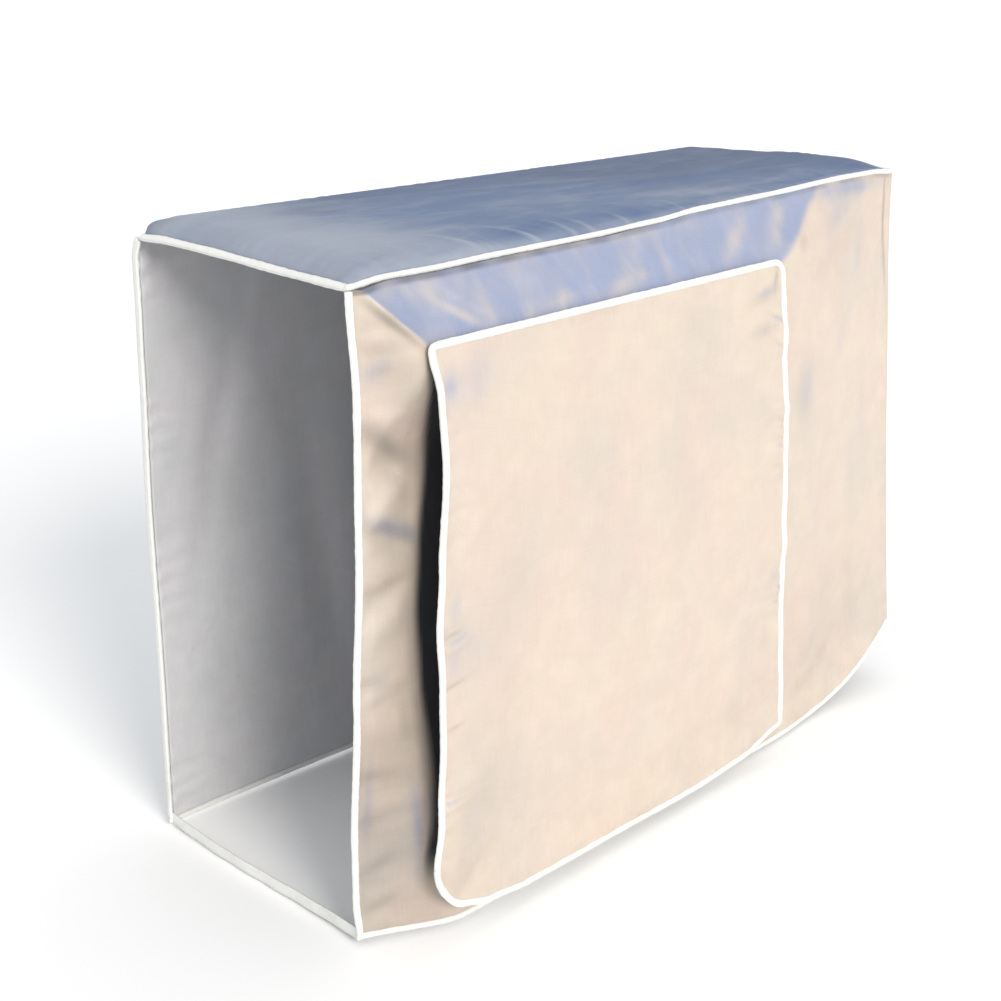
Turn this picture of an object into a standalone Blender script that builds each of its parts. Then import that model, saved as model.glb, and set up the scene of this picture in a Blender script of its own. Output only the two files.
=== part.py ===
"""Fitted cloth cover for the outdoor unit of an air conditioner.

Metres, +Z up. X runs along the front from the open left end to the closed right end, +Y points to
the back. The origin is the middle of the underside of the top cloth, where the unit carries it.
Each cloth is a grid that is moved into its hung shape and given its thickness by Solidify. Each
binding is a tube of tape that runs along a seam, and the cloths stop just short of it.
"""

import bpy
import bmesh
import numpy as np

# Overall sizes of the hung cover
WIDTH = 0.930
DEPTH = 0.336
DROP = 0.722
SEAM_LEVEL = -0.006

# Cloth and tape
CLOTH = 0.002
TAPE_RADIUS = 0.0045
SEW_GAP = 0.0006
TAPE_MARGIN = TAPE_RADIUS + SEW_GAP + 0.0001

# Hood above the flap: how far it stands out, how far down its edge lies, and its two hips
HOOD_OUT = 0.045
HOOD_DROP = 0.065
LEFT_HIP = 0.060
LEFT_HIP_AT_HEM = 0.105
RIGHT_HIP = 0.290
HIP_GROWS = (0.350, 0.700)

# Tuck: how much of the hood the cloth loses behind the flap, and where, as (start, end) pairs of
# the place along the front and of the depth below the seam
TUCK_SHARE = 0.86
TUCK_SIDE = (-0.280, 0.100)
TUCK_IN = (0.072, 0.190)
TUCK_OUT = (0.440, 0.660)

# Right front corner: the hem swings out and is cut round
FLARE_OUT = 0.036
FLARE_SIDE = 0.042
CORNER_FILL = 0.006
CORNER_FILL_SPAN = (0.05, 0.35)
FLARE_START = 0.050
ROUND_REACH = 0.250
ROUND_RISE = 0.080
ROUND_POWER = 2.6
HEM_LIFT = 0.004
HEM_LIFT_START = -0.250
END_ROUND_REACH = 0.130

# Right end and back: where they meet, and how far each bellies out
BACK_CORNER_X = WIDTH / 2 + 0.004
END_BELLY = 0.006
BACK_BELLY = 0.008

# Flap
FLAP_MARGIN = TAPE_MARGIN + 0.0005
FLAP_STAND = 0.0059
FLAP_KICK = 0.008
FLAP_TOP = SEAM_LEVEL - HOOD_DROP
FLAP_FOOT_ROUND = 0.050
FLAP_TOP_ROUND = 0.018
FLAP_HANG = 0.120

# Curl that lifts the flap's free edge off the front: its height, middle, half width, half height
CURL = 0.007
CURL_X = -0.400
CURL_Z = -0.320
CURL_HALF_WIDTH = 0.050
CURL_HALF_HEIGHT = 0.140

# Air outlet cut out of the front cloth behind the flap
OUTLET_LEFT = -0.275
OUTLET_RIGHT = 0.085
OUTLET_TOP = -0.130
OUTLET_FOOT = -0.600
OUTLET_ROUND = 0.040
OUTLET_ROUND_STEPS = 4
CUTTER_DEPTH = 0.30

# Band across the foot of the open end
BAND_HEIGHT = 0.014
BAND_RISE = 0.0035
BAND_SLANT = 0.002
BAND_SAG = 0.004
BAND_WAVE = 0.002

# Grid steps: along the front, front to back, and down
STEPS_X = 32
STEPS_Y = 12
STEPS_Z = 22
FLAP_STEPS_X = 18
FLAP_FOOT_STEPS = 5
FLAP_TOP_STEPS = 3
FLAP_STEPS_Z = 20

# How much closer together the steps lie at a cloth's edges: along the front, front to back, down
CROWD_X = 0.50
CROWD_Y = 0.62
CROWD_Z = 0.30

# Top cloth: height of its crest at the open and the closed end, and how soon it is reached from
# the front, the back, the open and the closed edge
CREST_OPEN = 0.014
CREST_CLOSED = 0.000
RISE_FRONT = 0.060
RISE_BACK = 0.028
RISE_OPEN = 0.040
RISE_CLOSED = 0.030

# How much higher the crest bows at the closed end, as (place front to back, height)
END_BOW = ((-0.168, 0.008), (-0.100, 0.0145), (-0.030, 0.0135), (0.040, 0.008), (0.084, 0.005),
           (0.168, 0.001))

# Lift of each top seam above the seam level, as (place along the seam, lift)
FRONT_SEAM = ((-0.465, -0.008), (-0.420, -0.0045), (-0.350, -0.0055), (-0.280, -0.0045), (-0.120, -0.0048),
              (-0.020, -0.003), (0.060, 0.001), (0.180, 0.002), (0.350, 0.005), (0.420, 0.0045),
              (0.465, 0.001))
BACK_SEAM = ((-0.465, -0.008), (-0.400, -0.010), (0.465, -0.012))
LEFT_SEAM = ((-0.168, -0.008), (-0.100, -0.0075), (0.060, -0.005), (0.120, -0.005), (0.168, -0.008))
RIGHT_SEAM = ((-0.168, 0.001), (-0.110, 0.006), (-0.040, 0.004), (0.040, -0.003), (0.168, -0.012))

# Sway of the upright edges of the open end, as (share of the drop, towards the back)
LEFT_FRONT_SWAY = ((0.00, -0.002), (0.15, -0.010), (0.38, -0.008), (0.62, 0.001), (0.85, 0.010),
                   (0.95, 0.010), (1.00, 0.005))
LEFT_BACK_SWAY = ((0.00, 0.004), (0.20, 0.010), (0.45, 0.015), (0.70, 0.013), (1.00, 0.015))
SWAY_REACH = 0.090
BACK_SWAY_START = 0.55

# Upright edges of the flap, as (height, place along the front), and its foot the other way round
FLAP_LEFT = ((-0.720, -0.411), (-0.650, -0.409), (-0.590, -0.4035), (-0.500, -0.400), (-0.430, -0.4075),
             (-0.361, -0.4065), (-0.300, -0.399), (-0.190, -0.391), (-0.125, -0.396), (-0.071, -0.406))
FLAP_RIGHT = ((-0.720, 0.212), (-0.650, 0.2085), (-0.581, 0.202), (-0.512, 0.197), (-0.374, 0.193),
              (-0.305, 0.188), (-0.236, 0.180), (-0.167, 0.171), (-0.071, 0.160))
FLAP_FOOT = ((-0.410, -0.689), (-0.371, -0.698), (-0.331, -0.709), (-0.270, -0.715), (0.040, -0.718),
             (0.125, -0.713), (0.213, -0.694))

# The front lies smooth under the sewn top of the flap, and near its own upright edges
SMOOTH_LEFT = (-0.420, -0.390)
SMOOTH_RIGHT = (0.130, 0.200)
SMOOTH_BELOW = (0.045, 0.060)
LEFT_EDGE_REACH = 0.020
RIGHT_EDGE_REACH = 0.040

# Soft folds of the front cloth, as (x, z, half length, half width, turn in degrees, height)
FRONT_FOLDS = ((-0.440, -0.150, 0.060, 0.016, 60, 0.0040), (-0.435, -0.235, 0.050, 0.018, 35, 0.0050),
               (-0.425, -0.360, 0.060, 0.020, 20, 0.0045), (-0.430, -0.480, 0.055, 0.022, -15, 0.0050),
               (-0.425, -0.600, 0.060, 0.022, -30, 0.0045), (-0.300, -0.035, 0.050, 0.014, 70, 0.0030),
               (-0.120, -0.040, 0.045, 0.014, 80, 0.0035), (0.060, -0.036, 0.045, 0.014, 75, 0.0030),
               (0.270, -0.060, 0.075, 0.020, 60, 0.0050), (0.330, -0.130, 0.100, 0.024, 50, 0.0050),
               (0.290, -0.300, 0.140, 0.030, 80, 0.0055), (0.380, -0.420, 0.150, 0.028, 95, 0.0050),
               (0.300, -0.560, 0.120, 0.026, 75, 0.0050), (0.430, -0.200, 0.110, 0.020, 100, 0.0040))

# Soft folds of the top cloth and of the flap, in the same columns, with y in place of z on the top
TOP_FOLDS = ((-0.380, -0.120, 0.050, 0.014, 70, 0.0035), (-0.270, -0.125, 0.045, 0.012, 80, 0.0040),
             (-0.150, -0.120, 0.050, 0.014, 60, 0.0035), (-0.020, -0.130, 0.040, 0.013, 100, 0.0035),
             (0.110, -0.125, 0.050, 0.014, 65, 0.0030), (0.260, -0.130, 0.045, 0.014, 110, 0.0030),
             (-0.200, 0.020, 0.160, 0.020, 8, 0.0030), (0.180, -0.020, 0.180, 0.022, -6, 0.0025))
FLAP_FOLDS = ((-0.330, -0.330, 0.220, 0.040, 92, 0.0045), (-0.180, -0.420, 0.240, 0.045, 86, 0.0035),
              (-0.030, -0.380, 0.260, 0.045, 94, 0.0045), (0.110, -0.400, 0.240, 0.035, 88, 0.0040),
              (0.160, -0.170, 0.060, 0.014, 20, 0.0030), (0.165, -0.250, 0.060, 0.014, -15, 0.0035),
              (0.175, -0.440, 0.060, 0.016, 15, 0.0030), (-0.370, -0.560, 0.080, 0.020, 40, 0.0035))


def clear_scene():
    """Removes what the start-up file holds."""
    for old in list(bpy.data.objects):
        bpy.data.objects.remove(old, do_unlink=True)


def new_collection(name):
    """Makes a collection in the scene."""
    made = bpy.data.collections.new(name)
    bpy.context.scene.collection.children.link(made)
    return made


def new_material(name, color, roughness, metallic):
    """Makes a Principled material of one colour."""
    made = bpy.data.materials.new(name)
    made.use_nodes = True
    shader = made.node_tree.nodes["Principled BSDF"]
    shader.inputs["Base Color"].default_value = (*color, 1.0)
    shader.inputs["Roughness"].default_value = roughness
    shader.inputs["Metallic"].default_value = metallic
    made.diffuse_color = (*color, 1.0)
    return made


def eased(place, rows):
    """Reads a two-column table at each place, easing in and out of every row."""
    keys, values = np.array(rows).T
    place = np.clip(place, keys[0], keys[-1])
    step = np.clip(np.searchsorted(keys, place, side="right") - 1, 0, len(keys) - 2)
    share = (place - keys[step]) / (keys[step + 1] - keys[step])
    share = share * share * (3 - 2 * share)
    return values[step] + (values[step + 1] - values[step]) * share


def ramp(value, start, stop):
    """Rises smoothly from 0 at start to 1 at stop."""
    share = np.clip((value - start) / (stop - start), 0, 1)
    return share * share * (3 - 2 * share)


def spaced(share, crowd):
    """Moves even shares towards both ends, so that steps lie closer together there."""
    return share - crowd * np.sin(2 * np.pi * share) / (2 * np.pi)


def folds(across, along, rows):
    """Adds up long soft ridges, each a stretched bell turned by its angle."""
    total = np.zeros_like(across)
    for x, z, half_length, half_width, turn, height in rows:
        angle = np.radians(turn)
        lengthwise = (across - x) * np.cos(angle) + (along - z) * np.sin(angle)
        crosswise = (along - z) * np.cos(angle) - (across - x) * np.sin(angle)
        total += height * np.exp(-(lengthwise / half_length) ** 2 - (crosswise / half_width) ** 2)
    return total


def front_seam_z(x):
    """Height of the seam between the top and the front."""
    return SEAM_LEVEL + eased(x, FRONT_SEAM)


def back_seam_z(x):
    """Height of the seam between the top and the back."""
    return SEAM_LEVEL + eased(x, BACK_SEAM)


def corner_swing(z):
    """How far the right front corner has swung forward at a height."""
    return FLARE_OUT * np.clip((SEAM_LEVEL - z) / DROP, 0, 1) ** 1.5


def right_corner(z):
    """Place along the front and front to back of the right front corner at a height."""
    fallen = np.clip((SEAM_LEVEL - z) / DROP, 0, 1)
    side = WIDTH / 2 + FLARE_SIDE * fallen ** 1.3 + CORNER_FILL * ramp(fallen, *CORNER_FILL_SPAN)
    return side, -DEPTH / 2 - corner_swing(z)


def front_hem_z(x):
    """Height of the front hem, cut round towards the right corner."""
    rounding = np.clip(1 - (hem_corner_x() - x) / ROUND_REACH, 0, 1)
    lift = HEM_LIFT * ramp(-x, -HEM_LIFT_START, WIDTH / 2)
    return SEAM_LEVEL - DROP + lift + ROUND_RISE * rounding ** ROUND_POWER


def front_hem_margin(x):
    """How far above the hem the cloth stops, measured straight up, so that the tape stays clear."""
    rounding = np.clip(1 - (hem_corner_x() - x) / ROUND_REACH, 0, 1)
    slope = ROUND_RISE * ROUND_POWER / ROUND_REACH * rounding ** (ROUND_POWER - 1)
    return TAPE_MARGIN * np.sqrt(1 + slope ** 2)


def hem_corner_x():
    """Place along the front where its hem meets the right end."""
    return right_corner(SEAM_LEVEL - DROP + ROUND_RISE)[0]


def end_hem_z(share):
    """Height of the hem of the right end at a share of its depth, falling from the rounded corner."""
    corner = front_hem_z(hem_corner_x())
    return corner + (SEAM_LEVEL - DROP - corner) * ramp(share * DEPTH, 0, END_ROUND_REACH)


def front_out(x, z):
    """How far the front cloth stands out from the unit: hood, hips, tuck, flare and folds.

    The hood is the least of three slopes, so its hips are creases. The tuck lets the cloth fall
    back towards the unit beside and behind the flap. The flare swings the right corner forward.
    """
    below = SEAM_LEVEL - z
    from_top = np.clip(below / HOOD_DROP, 0, 1)
    hip = LEFT_HIP + (LEFT_HIP_AT_HEM - LEFT_HIP) * ramp(below, *HIP_GROWS)
    from_left = np.clip((x + WIDTH / 2) / hip, 0, 1)
    from_right = ramp(WIDTH / 2 - x, 0.0, RIGHT_HIP)
    hood = HOOD_OUT * np.minimum(np.minimum(from_top, from_left), from_right)
    tuck = TUCK_SHARE * (1 - ramp(x, *TUCK_SIDE)) * ramp(below, *TUCK_IN) * (1 - ramp(below, *TUCK_OUT))
    flare = corner_swing(z) * ramp(x, FLARE_START, WIDTH / 2)
    edge = ramp(x + WIDTH / 2, 0, LEFT_EDGE_REACH) * ramp(WIDTH / 2 - x, 0, RIGHT_EDGE_REACH)
    smooth = ramp(x, *SMOOTH_LEFT) * (1 - ramp(x, *SMOOTH_RIGHT)) * ramp(below, *SMOOTH_BELOW)
    creases = folds(x, z, FRONT_FOLDS) * edge * (1 - smooth)
    return hood * (1 - tuck) + flare * (1 - hood / HOOD_OUT) + creases


def front_hem_columns(u):
    """Places along the front hem where the cloth's columns meet it."""
    left = -WIDTH / 2 + TAPE_MARGIN
    return left + (hem_corner_x() + CLOTH / 2 - left) * u


def front_cloth(u, v):
    """Front cloth: u from the open end to the right corner, v from the hem up to the top seam."""
    left = -WIDTH / 2 + TAPE_MARGIN
    top = front_seam_z(left + (WIDTH / 2 - left) * u) - TAPE_MARGIN
    hem_x = front_hem_columns(u)
    hem = front_hem_z(hem_x) + front_hem_margin(hem_x)
    z = hem + (top - hem) * v
    corner_foot = front_hem_z(hem_corner_x()) + front_hem_margin(hem_corner_x())
    corner_z = corner_foot + (SEAM_LEVEL - TAPE_MARGIN - corner_foot) * v
    x = left + (right_corner(corner_z)[0] + CLOTH / 2 - left) * u
    sway = eased(1 - v, LEFT_FRONT_SWAY) * (1 - ramp(x + WIDTH / 2, 0, SWAY_REACH))
    return x, -DEPTH / 2 + sway - front_out(x, z), z


def end_x(share, corner_x):
    """Place along the front of the right end, eased from its front corner to its back one."""
    return corner_x + (BACK_CORNER_X - corner_x) * ramp(share, 0, 1) + END_BELLY * np.sin(np.pi * share)


def back_bulge(share, drop_share):
    """How far the back cloth stands out: a low belly and the sway of its edge at the open end."""
    belly = BACK_BELLY * np.sin(np.pi * share) * np.sin(np.pi * 0.9 * drop_share)
    return belly + eased(drop_share, LEFT_BACK_SWAY) * ramp(share, BACK_SWAY_START, 1.0)


def right_cloth(u, v):
    """Cloth of the right end: u from the front corner to the back, v from the hem up."""
    top = SEAM_LEVEL + eased(DEPTH * (u - 0.5), RIGHT_SEAM) - TAPE_MARGIN
    hem = end_hem_z(u) + front_hem_margin(hem_corner_x()) * (1 - u) + TAPE_MARGIN * u
    z = hem + (top - hem) * v
    corner_x, corner_y = right_corner(z)
    front = corner_y + CLOTH / 2 + 2 * SEW_GAP
    back = DEPTH / 2 - CLOTH / 2 - 2 * SEW_GAP
    return end_x(u, corner_x), front + (back - front) * u, z


def back_cloth(u, v):
    """Back cloth: u from the right corner to the open end, v from the hem up."""
    right = BACK_CORNER_X + CLOTH / 2
    x = right + (-WIDTH / 2 + TAPE_MARGIN - right) * u
    top = back_seam_z(x) - TAPE_MARGIN
    hem = SEAM_LEVEL - DROP + TAPE_MARGIN
    return x, DEPTH / 2 + back_bulge(u, 1 - v), hem + (top - hem) * v


def swell(distance, reach):
    """Rises from 0 at an edge to 1 at its reach, steeply at first like a quarter circle."""
    share = np.clip(distance / reach, 0, 1)
    return np.sqrt(1 - (1 - share) ** 2)


def top_cloth(u, v):
    """Top cloth: u along the front, v towards the back, blended between its four seams.

    The blend is the sum of the two ruled sheets between facing seams less the sheet between the
    four corners. From each seam the cloth swells up to its crest, where it lies on the unit.
    """
    x = (WIDTH / 2 - TAPE_MARGIN) * (2 * u - 1)
    y = (DEPTH / 2 - TAPE_MARGIN) * (2 * v - 1)
    front, back = eased(x, FRONT_SEAM), eased(x, BACK_SEAM)
    left, right = eased(y, LEFT_SEAM), eased(y, RIGHT_SEAM)
    corners = ((1 - u) * (1 - v) * FRONT_SEAM[0][1] + u * (1 - v) * FRONT_SEAM[-1][1]
               + (1 - u) * v * BACK_SEAM[0][1] + u * v * BACK_SEAM[-1][1])
    seams = (1 - v) * front + v * back + (1 - u) * left + u * right - corners
    from_ends = swell(u * WIDTH, RISE_OPEN) * swell((1 - u) * WIDTH, RISE_CLOSED)
    inner = from_ends * swell(v * DEPTH, RISE_FRONT) * swell((1 - v) * DEPTH, RISE_BACK)
    crest = CREST_OPEN + (CREST_CLOSED - CREST_OPEN) * u + eased(y, END_BOW) * u ** 6
    height = seams + (crest - seams) * inner + folds(x, y, TOP_FOLDS) * inner
    return x, y, SEAM_LEVEL + height


def flap_out(x, z):
    """How far the flap stands out: clear of the hood, kicked out at its foot, with soft folds."""
    below = np.clip((FLAP_TOP - z) / (DROP - HOOD_DROP), 0, 1)
    from_curl = ((x - CURL_X) / CURL_HALF_WIDTH) ** 2 + ((z - CURL_Z) / CURL_HALF_HEIGHT) ** 2
    curl = CURL * np.exp(-from_curl)
    hang = ramp(below, 0.0, FLAP_HANG)
    return HOOD_OUT + FLAP_STAND + FLAP_KICK * below ** 1.4 + hang * (curl + folds(x, z, FLAP_FOLDS))


def flap_point(u, v, inset):
    """Point of the flap: u from left to right, v from the foot up, drawn in by inset all round.

    The foot is rounded at the left and the top at the right, each by a quarter circle.
    """
    foot_left, foot_right = FLAP_LEFT[0][1] + inset, FLAP_RIGHT[0][1] - inset
    along = foot_left + (foot_right - foot_left) * u
    foot = eased(along, FLAP_FOOT) + inset
    from_left = np.clip(along - foot_left, 0, FLAP_FOOT_ROUND - inset)
    rounding = FLAP_FOOT_ROUND - inset
    foot = foot + rounding - np.sqrt(rounding ** 2 - (rounding - from_left) ** 2)
    top_round = FLAP_TOP_ROUND - inset
    from_right = np.clip(foot_right - along, 0, top_round)
    top = FLAP_TOP - inset - top_round + np.sqrt(top_round ** 2 - (top_round - from_right) ** 2)
    z = foot + (top - foot) * v
    left = eased(z, FLAP_LEFT) + inset
    right = eased(z, FLAP_RIGHT) - inset
    x = left + (right - left) * u
    return x, -DEPTH / 2 - flap_out(x, z), z


def flap_columns():
    """Column places across the flap, closer together inside its rounded corners."""
    width = FLAP_RIGHT[0][1] - FLAP_LEFT[0][1]
    left = FLAP_FOOT_ROUND / width * (1 - np.cos(np.linspace(0, np.pi / 2, FLAP_FOOT_STEPS + 1)))
    right = 1 - FLAP_TOP_ROUND / width * (1 - np.cos(np.linspace(0, np.pi / 2, FLAP_TOP_STEPS + 1)))
    between = np.linspace(left[-1], right[-1], FLAP_STEPS_X - FLAP_FOOT_STEPS - FLAP_TOP_STEPS + 1)
    return np.concatenate([left, between[1:-1], right[::-1]])


def flap_cloth(u, v):
    """Cloth of the flap inside its binding."""
    columns = flap_columns()
    return flap_point(np.interp(u, np.linspace(0, 1, len(columns)), columns), v, FLAP_MARGIN)


def band_cloth(u, v):
    """Band across the foot of the open end: u from front to back, v up its width."""
    front = -DEPTH / 2 + LEFT_FRONT_SWAY[-1][1] + TAPE_MARGIN
    back = DEPTH / 2 + LEFT_BACK_SWAY[-1][1] - TAPE_MARGIN
    middle = SEAM_LEVEL - DROP + BAND_RISE + BAND_SLANT * (1 - u) - BAND_SAG * np.sin(np.pi * u)
    x = -WIDTH / 2 + BAND_WAVE * np.sin(2 * np.pi * u)
    return x, front + (back - front) * u, middle + BAND_HEIGHT * (v - 0.5)


def grid_object(name, shape, steps, crowds, material, collection):
    """Makes a cloth: a grid moved by a shape function, then thickened evenly to both sides."""
    mesh = bpy.data.meshes.new(name)
    build = bmesh.new()
    bmesh.ops.create_grid(build, x_segments=steps[0], y_segments=steps[1], size=1)
    build.to_mesh(mesh)
    build.free()
    places = np.empty(len(mesh.vertices) * 3)
    mesh.vertices.foreach_get("co", places)
    places = places.reshape(-1, 3)
    u = spaced((places[:, 0] + 1) / 2, crowds[0])
    v = spaced((places[:, 1] + 1) / 2, crowds[1])
    moved = shape(u, v)
    mesh.vertices.foreach_set("co", np.stack(moved, axis=1).ravel())
    mesh.update()
    mesh.shade_smooth()
    made = bpy.data.objects.new(name, mesh)
    collection.objects.link(made)
    made.data.materials.append(material)
    thick = made.modifiers.new("thickness", "SOLIDIFY")
    thick.thickness = CLOTH
    thick.offset = 0.0
    thick.use_even_offset = False
    return made


def tape_object(name, points, closed, material, collection):
    """Makes a binding: a six-sided tube of tape through the points of its seam."""
    curve = bpy.data.curves.new(name, "CURVE")
    curve.dimensions = "3D"
    curve.bevel_depth = TAPE_RADIUS
    curve.bevel_resolution = 1
    curve.use_fill_caps = not closed
    line = curve.splines.new("POLY")
    line.points.add(len(points) - 1)
    line.points.foreach_set("co", np.column_stack([points, np.ones(len(points))]).ravel())
    line.use_cyclic_u = closed
    curve.materials.append(material)
    made = bpy.data.objects.new(name, curve)
    collection.objects.link(made)
    return made


def top_seam_loop():
    """Points of the seam round the top, one turn from the left front corner."""
    x = WIDTH * (spaced(np.linspace(0, 1, STEPS_X + 1), CROWD_X) - 0.5)
    y = DEPTH * (spaced(np.linspace(0, 1, STEPS_Y + 1), CROWD_Y) - 0.5)
    front = np.column_stack([x, np.full_like(x, y[0]), front_seam_z(x)])
    right = np.column_stack([np.full_like(y, x[-1]), y, SEAM_LEVEL + eased(y, RIGHT_SEAM)])
    back = np.column_stack([x, np.full_like(x, y[-1]), back_seam_z(x)])[::-1]
    left = np.column_stack([np.full_like(y, x[0]), y, SEAM_LEVEL + eased(y, LEFT_SEAM)])[::-1]
    return np.concatenate([front[:-1], right[:-1], back[:-1], left[:-1]])


def upright_edge(side, sway, seam_z, hem_z):
    """Points of an upright edge of the open end, from just under the top seam to just above the hem."""
    share = spaced(np.linspace(0, 1, STEPS_Z + 1), CROWD_Z)
    z = (seam_z - TAPE_MARGIN) + (hem_z - seam_z + 2 * TAPE_MARGIN) * share
    return np.column_stack([np.full_like(share, -WIDTH / 2), side + eased(share, sway), z])


def hem_line():
    """Points of the hem from the left front corner round the right end to the left back corner."""
    u = spaced(np.linspace(0, 1, STEPS_X + 1), CROWD_X)
    x = front_hem_columns(u)
    x[0], x[-1] = -WIDTH / 2 - TAPE_RADIUS, hem_corner_x()
    z = front_hem_z(x)
    sway = LEFT_FRONT_SWAY[-1][1] * (1 - ramp(x + WIDTH / 2, 0, SWAY_REACH))
    front = np.column_stack([x, -DEPTH / 2 + sway - front_out(x, z), z])
    u = spaced(np.linspace(0, 1, STEPS_Y + 1), CROWD_Y)[1:]
    y = front[-1, 1] + (DEPTH / 2 - front[-1, 1]) * u
    right = np.column_stack([end_x(u, hem_corner_x()), y, end_hem_z(u)])
    u = np.linspace(0, 1, STEPS_X // 2 + 1)[1:]
    x = BACK_CORNER_X - (BACK_CORNER_X + WIDTH / 2 + TAPE_RADIUS) * u
    y = DEPTH / 2 + back_bulge(u, 1.0)
    back = np.column_stack([x, y, np.full_like(u, SEAM_LEVEL - DROP)])
    return np.concatenate([front, right, back])


def flap_loop():
    """Points of the flap's edge, one turn from its left foot."""
    u = flap_columns()
    v = np.linspace(0, 1, FLAP_STEPS_Z + 1)
    foot = np.column_stack(flap_point(u, np.zeros_like(u), 0.0))
    right = np.column_stack(flap_point(np.ones_like(v), v, 0.0))
    top = np.column_stack(flap_point(u, np.ones_like(u), 0.0))[::-1]
    left = np.column_stack(flap_point(np.zeros_like(v), v, 0.0))[::-1]
    return np.concatenate([foot[:-1], right[:-1], top[:-1], left[:-1]])


def cut_outlet(panel, collection):
    """Cuts the air outlet through the front cloth with a round-cornered block."""
    bpy.ops.mesh.primitive_cube_add(size=1)
    cutter = bpy.context.object
    cutter.name = "outlet_cutter"
    middle = ((OUTLET_LEFT + OUTLET_RIGHT) / 2, -DEPTH / 2, (OUTLET_TOP + OUTLET_FOOT) / 2)
    size = (OUTLET_RIGHT - OUTLET_LEFT, CUTTER_DEPTH, OUTLET_TOP - OUTLET_FOOT)
    for vertex in cutter.data.vertices:
        vertex.co = [m + s * c for m, s, c in zip(middle, size, vertex.co)]
    build = bmesh.new()
    build.from_mesh(cutter.data)
    through = [e for e in build.edges if abs((e.verts[0].co - e.verts[1].co).y) > CUTTER_DEPTH / 2]
    bmesh.ops.bevel(build, geom=through, offset=OUTLET_ROUND, segments=OUTLET_ROUND_STEPS,
                    affect="EDGES", profile=0.5)
    build.to_mesh(cutter.data)
    build.free()
    for owner in list(cutter.users_collection):
        owner.objects.unlink(cutter)
    collection.objects.link(cutter)
    cutter.hide_render = True
    cutter.display_type = "WIRE"
    cut = panel.modifiers.new("outlet", "BOOLEAN")
    cut.operation = "DIFFERENCE"
    cut.solver = "EXACT"
    cut.object = cutter


def main():
    """Builds every piece of the cover."""
    clear_scene()
    cover = new_collection("air_conditioner_cover")
    cutters = new_collection("cutters")
    front_silver = new_material("front cloth", (0.80, 0.72, 0.62), 0.45, 0.25)
    top_silver = new_material("top cloth", (0.50, 0.56, 0.64), 0.42, 0.30)
    plain_silver = new_material("end and back cloth", (0.66, 0.67, 0.70), 0.48, 0.25)
    flap_silver = new_material("flap cloth", (0.84, 0.76, 0.66), 0.45, 0.22)
    white_tape = new_material("binding tape", (0.92, 0.92, 0.91), 0.70, 0.0)

    across = (STEPS_X, STEPS_Z)
    half = (STEPS_X // 2, STEPS_Z // 2)
    grid_object("top_panel", top_cloth, (STEPS_X, STEPS_Y), (CROWD_X, CROWD_Y), top_silver, cover)
    front = grid_object("front_panel", front_cloth, across, (CROWD_X, CROWD_Z), front_silver, cover)
    cut_outlet(front, cutters)
    flap_steps = (FLAP_STEPS_X, FLAP_STEPS_Z)
    grid_object("front_flap", flap_cloth, flap_steps, (0, 0), flap_silver, cover)
    end_steps = (STEPS_Y, STEPS_Z)
    grid_object("right_panel", right_cloth, end_steps, (CROWD_Y, CROWD_Z), plain_silver, cover)
    grid_object("back_panel", back_cloth, half, (0, 0), plain_silver, cover)
    grid_object("foot_band", band_cloth, (STEPS_Y, 1), (0, 0), white_tape, cover)

    tape_object("top_binding", top_seam_loop(), True, white_tape, cover)
    left = -WIDTH / 2
    front_edge = upright_edge(-DEPTH / 2, LEFT_FRONT_SWAY, front_seam_z(left), front_hem_z(left))
    tape_object("left_front_binding", front_edge, False, white_tape, cover)
    back_edge = upright_edge(DEPTH / 2, LEFT_BACK_SWAY, back_seam_z(left), SEAM_LEVEL - DROP)
    tape_object("left_back_binding", back_edge, False, white_tape, cover)
    tape_object("hem_binding", hem_line(), False, white_tape, cover)
    tape_object("flap_binding", flap_loop(), True, white_tape, cover)


main()
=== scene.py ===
"""Looks of a fitted cloth cover for the outdoor unit of an air conditioner.

Metres, +Z up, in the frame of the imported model: X runs along the front from the open left end to the
closed right end, +Y points to the back, and the origin is the middle of the underside of the top
cloth. Every cloth is a fine grid in its hung shape, closed to its real thickness. Every binding is a
folded tape carried along its seam, with its row of stitches.
"""

import logging
import math
from dataclasses import dataclass, field
from enum import Enum

import bpy
import numpy as np
from mathutils import Matrix, Vector


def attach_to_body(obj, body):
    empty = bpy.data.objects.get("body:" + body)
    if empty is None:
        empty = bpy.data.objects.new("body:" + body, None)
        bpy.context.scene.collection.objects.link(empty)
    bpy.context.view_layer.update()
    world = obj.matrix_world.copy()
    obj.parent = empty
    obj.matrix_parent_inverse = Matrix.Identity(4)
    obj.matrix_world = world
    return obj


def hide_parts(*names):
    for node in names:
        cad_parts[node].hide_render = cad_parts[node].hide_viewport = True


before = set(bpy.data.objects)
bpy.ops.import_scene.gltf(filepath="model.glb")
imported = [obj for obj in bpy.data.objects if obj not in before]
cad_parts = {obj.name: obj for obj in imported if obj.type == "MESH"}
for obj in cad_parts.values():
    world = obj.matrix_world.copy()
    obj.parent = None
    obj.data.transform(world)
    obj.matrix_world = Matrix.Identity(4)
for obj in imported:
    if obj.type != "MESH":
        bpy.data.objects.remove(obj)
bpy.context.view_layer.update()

Array = np.ndarray
Rows = tuple[tuple[float, ...], ...]
Colour = tuple[float, float, float]
Value = float | tuple[float, ...] | bpy.types.NodeSocket

log = logging.getLogger("cover")


class Slot(Enum):
    """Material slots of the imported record."""

    TOP = "top_cloth"
    FRONT = "front_cloth"
    END = "end_cloth"
    TAPE = "binding_tape"


class Held(Enum):
    """How a sheet of cloth is held."""

    DRAPED = "draped"
    HUNG = "hung"
    STRETCHED = "stretched"


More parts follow.
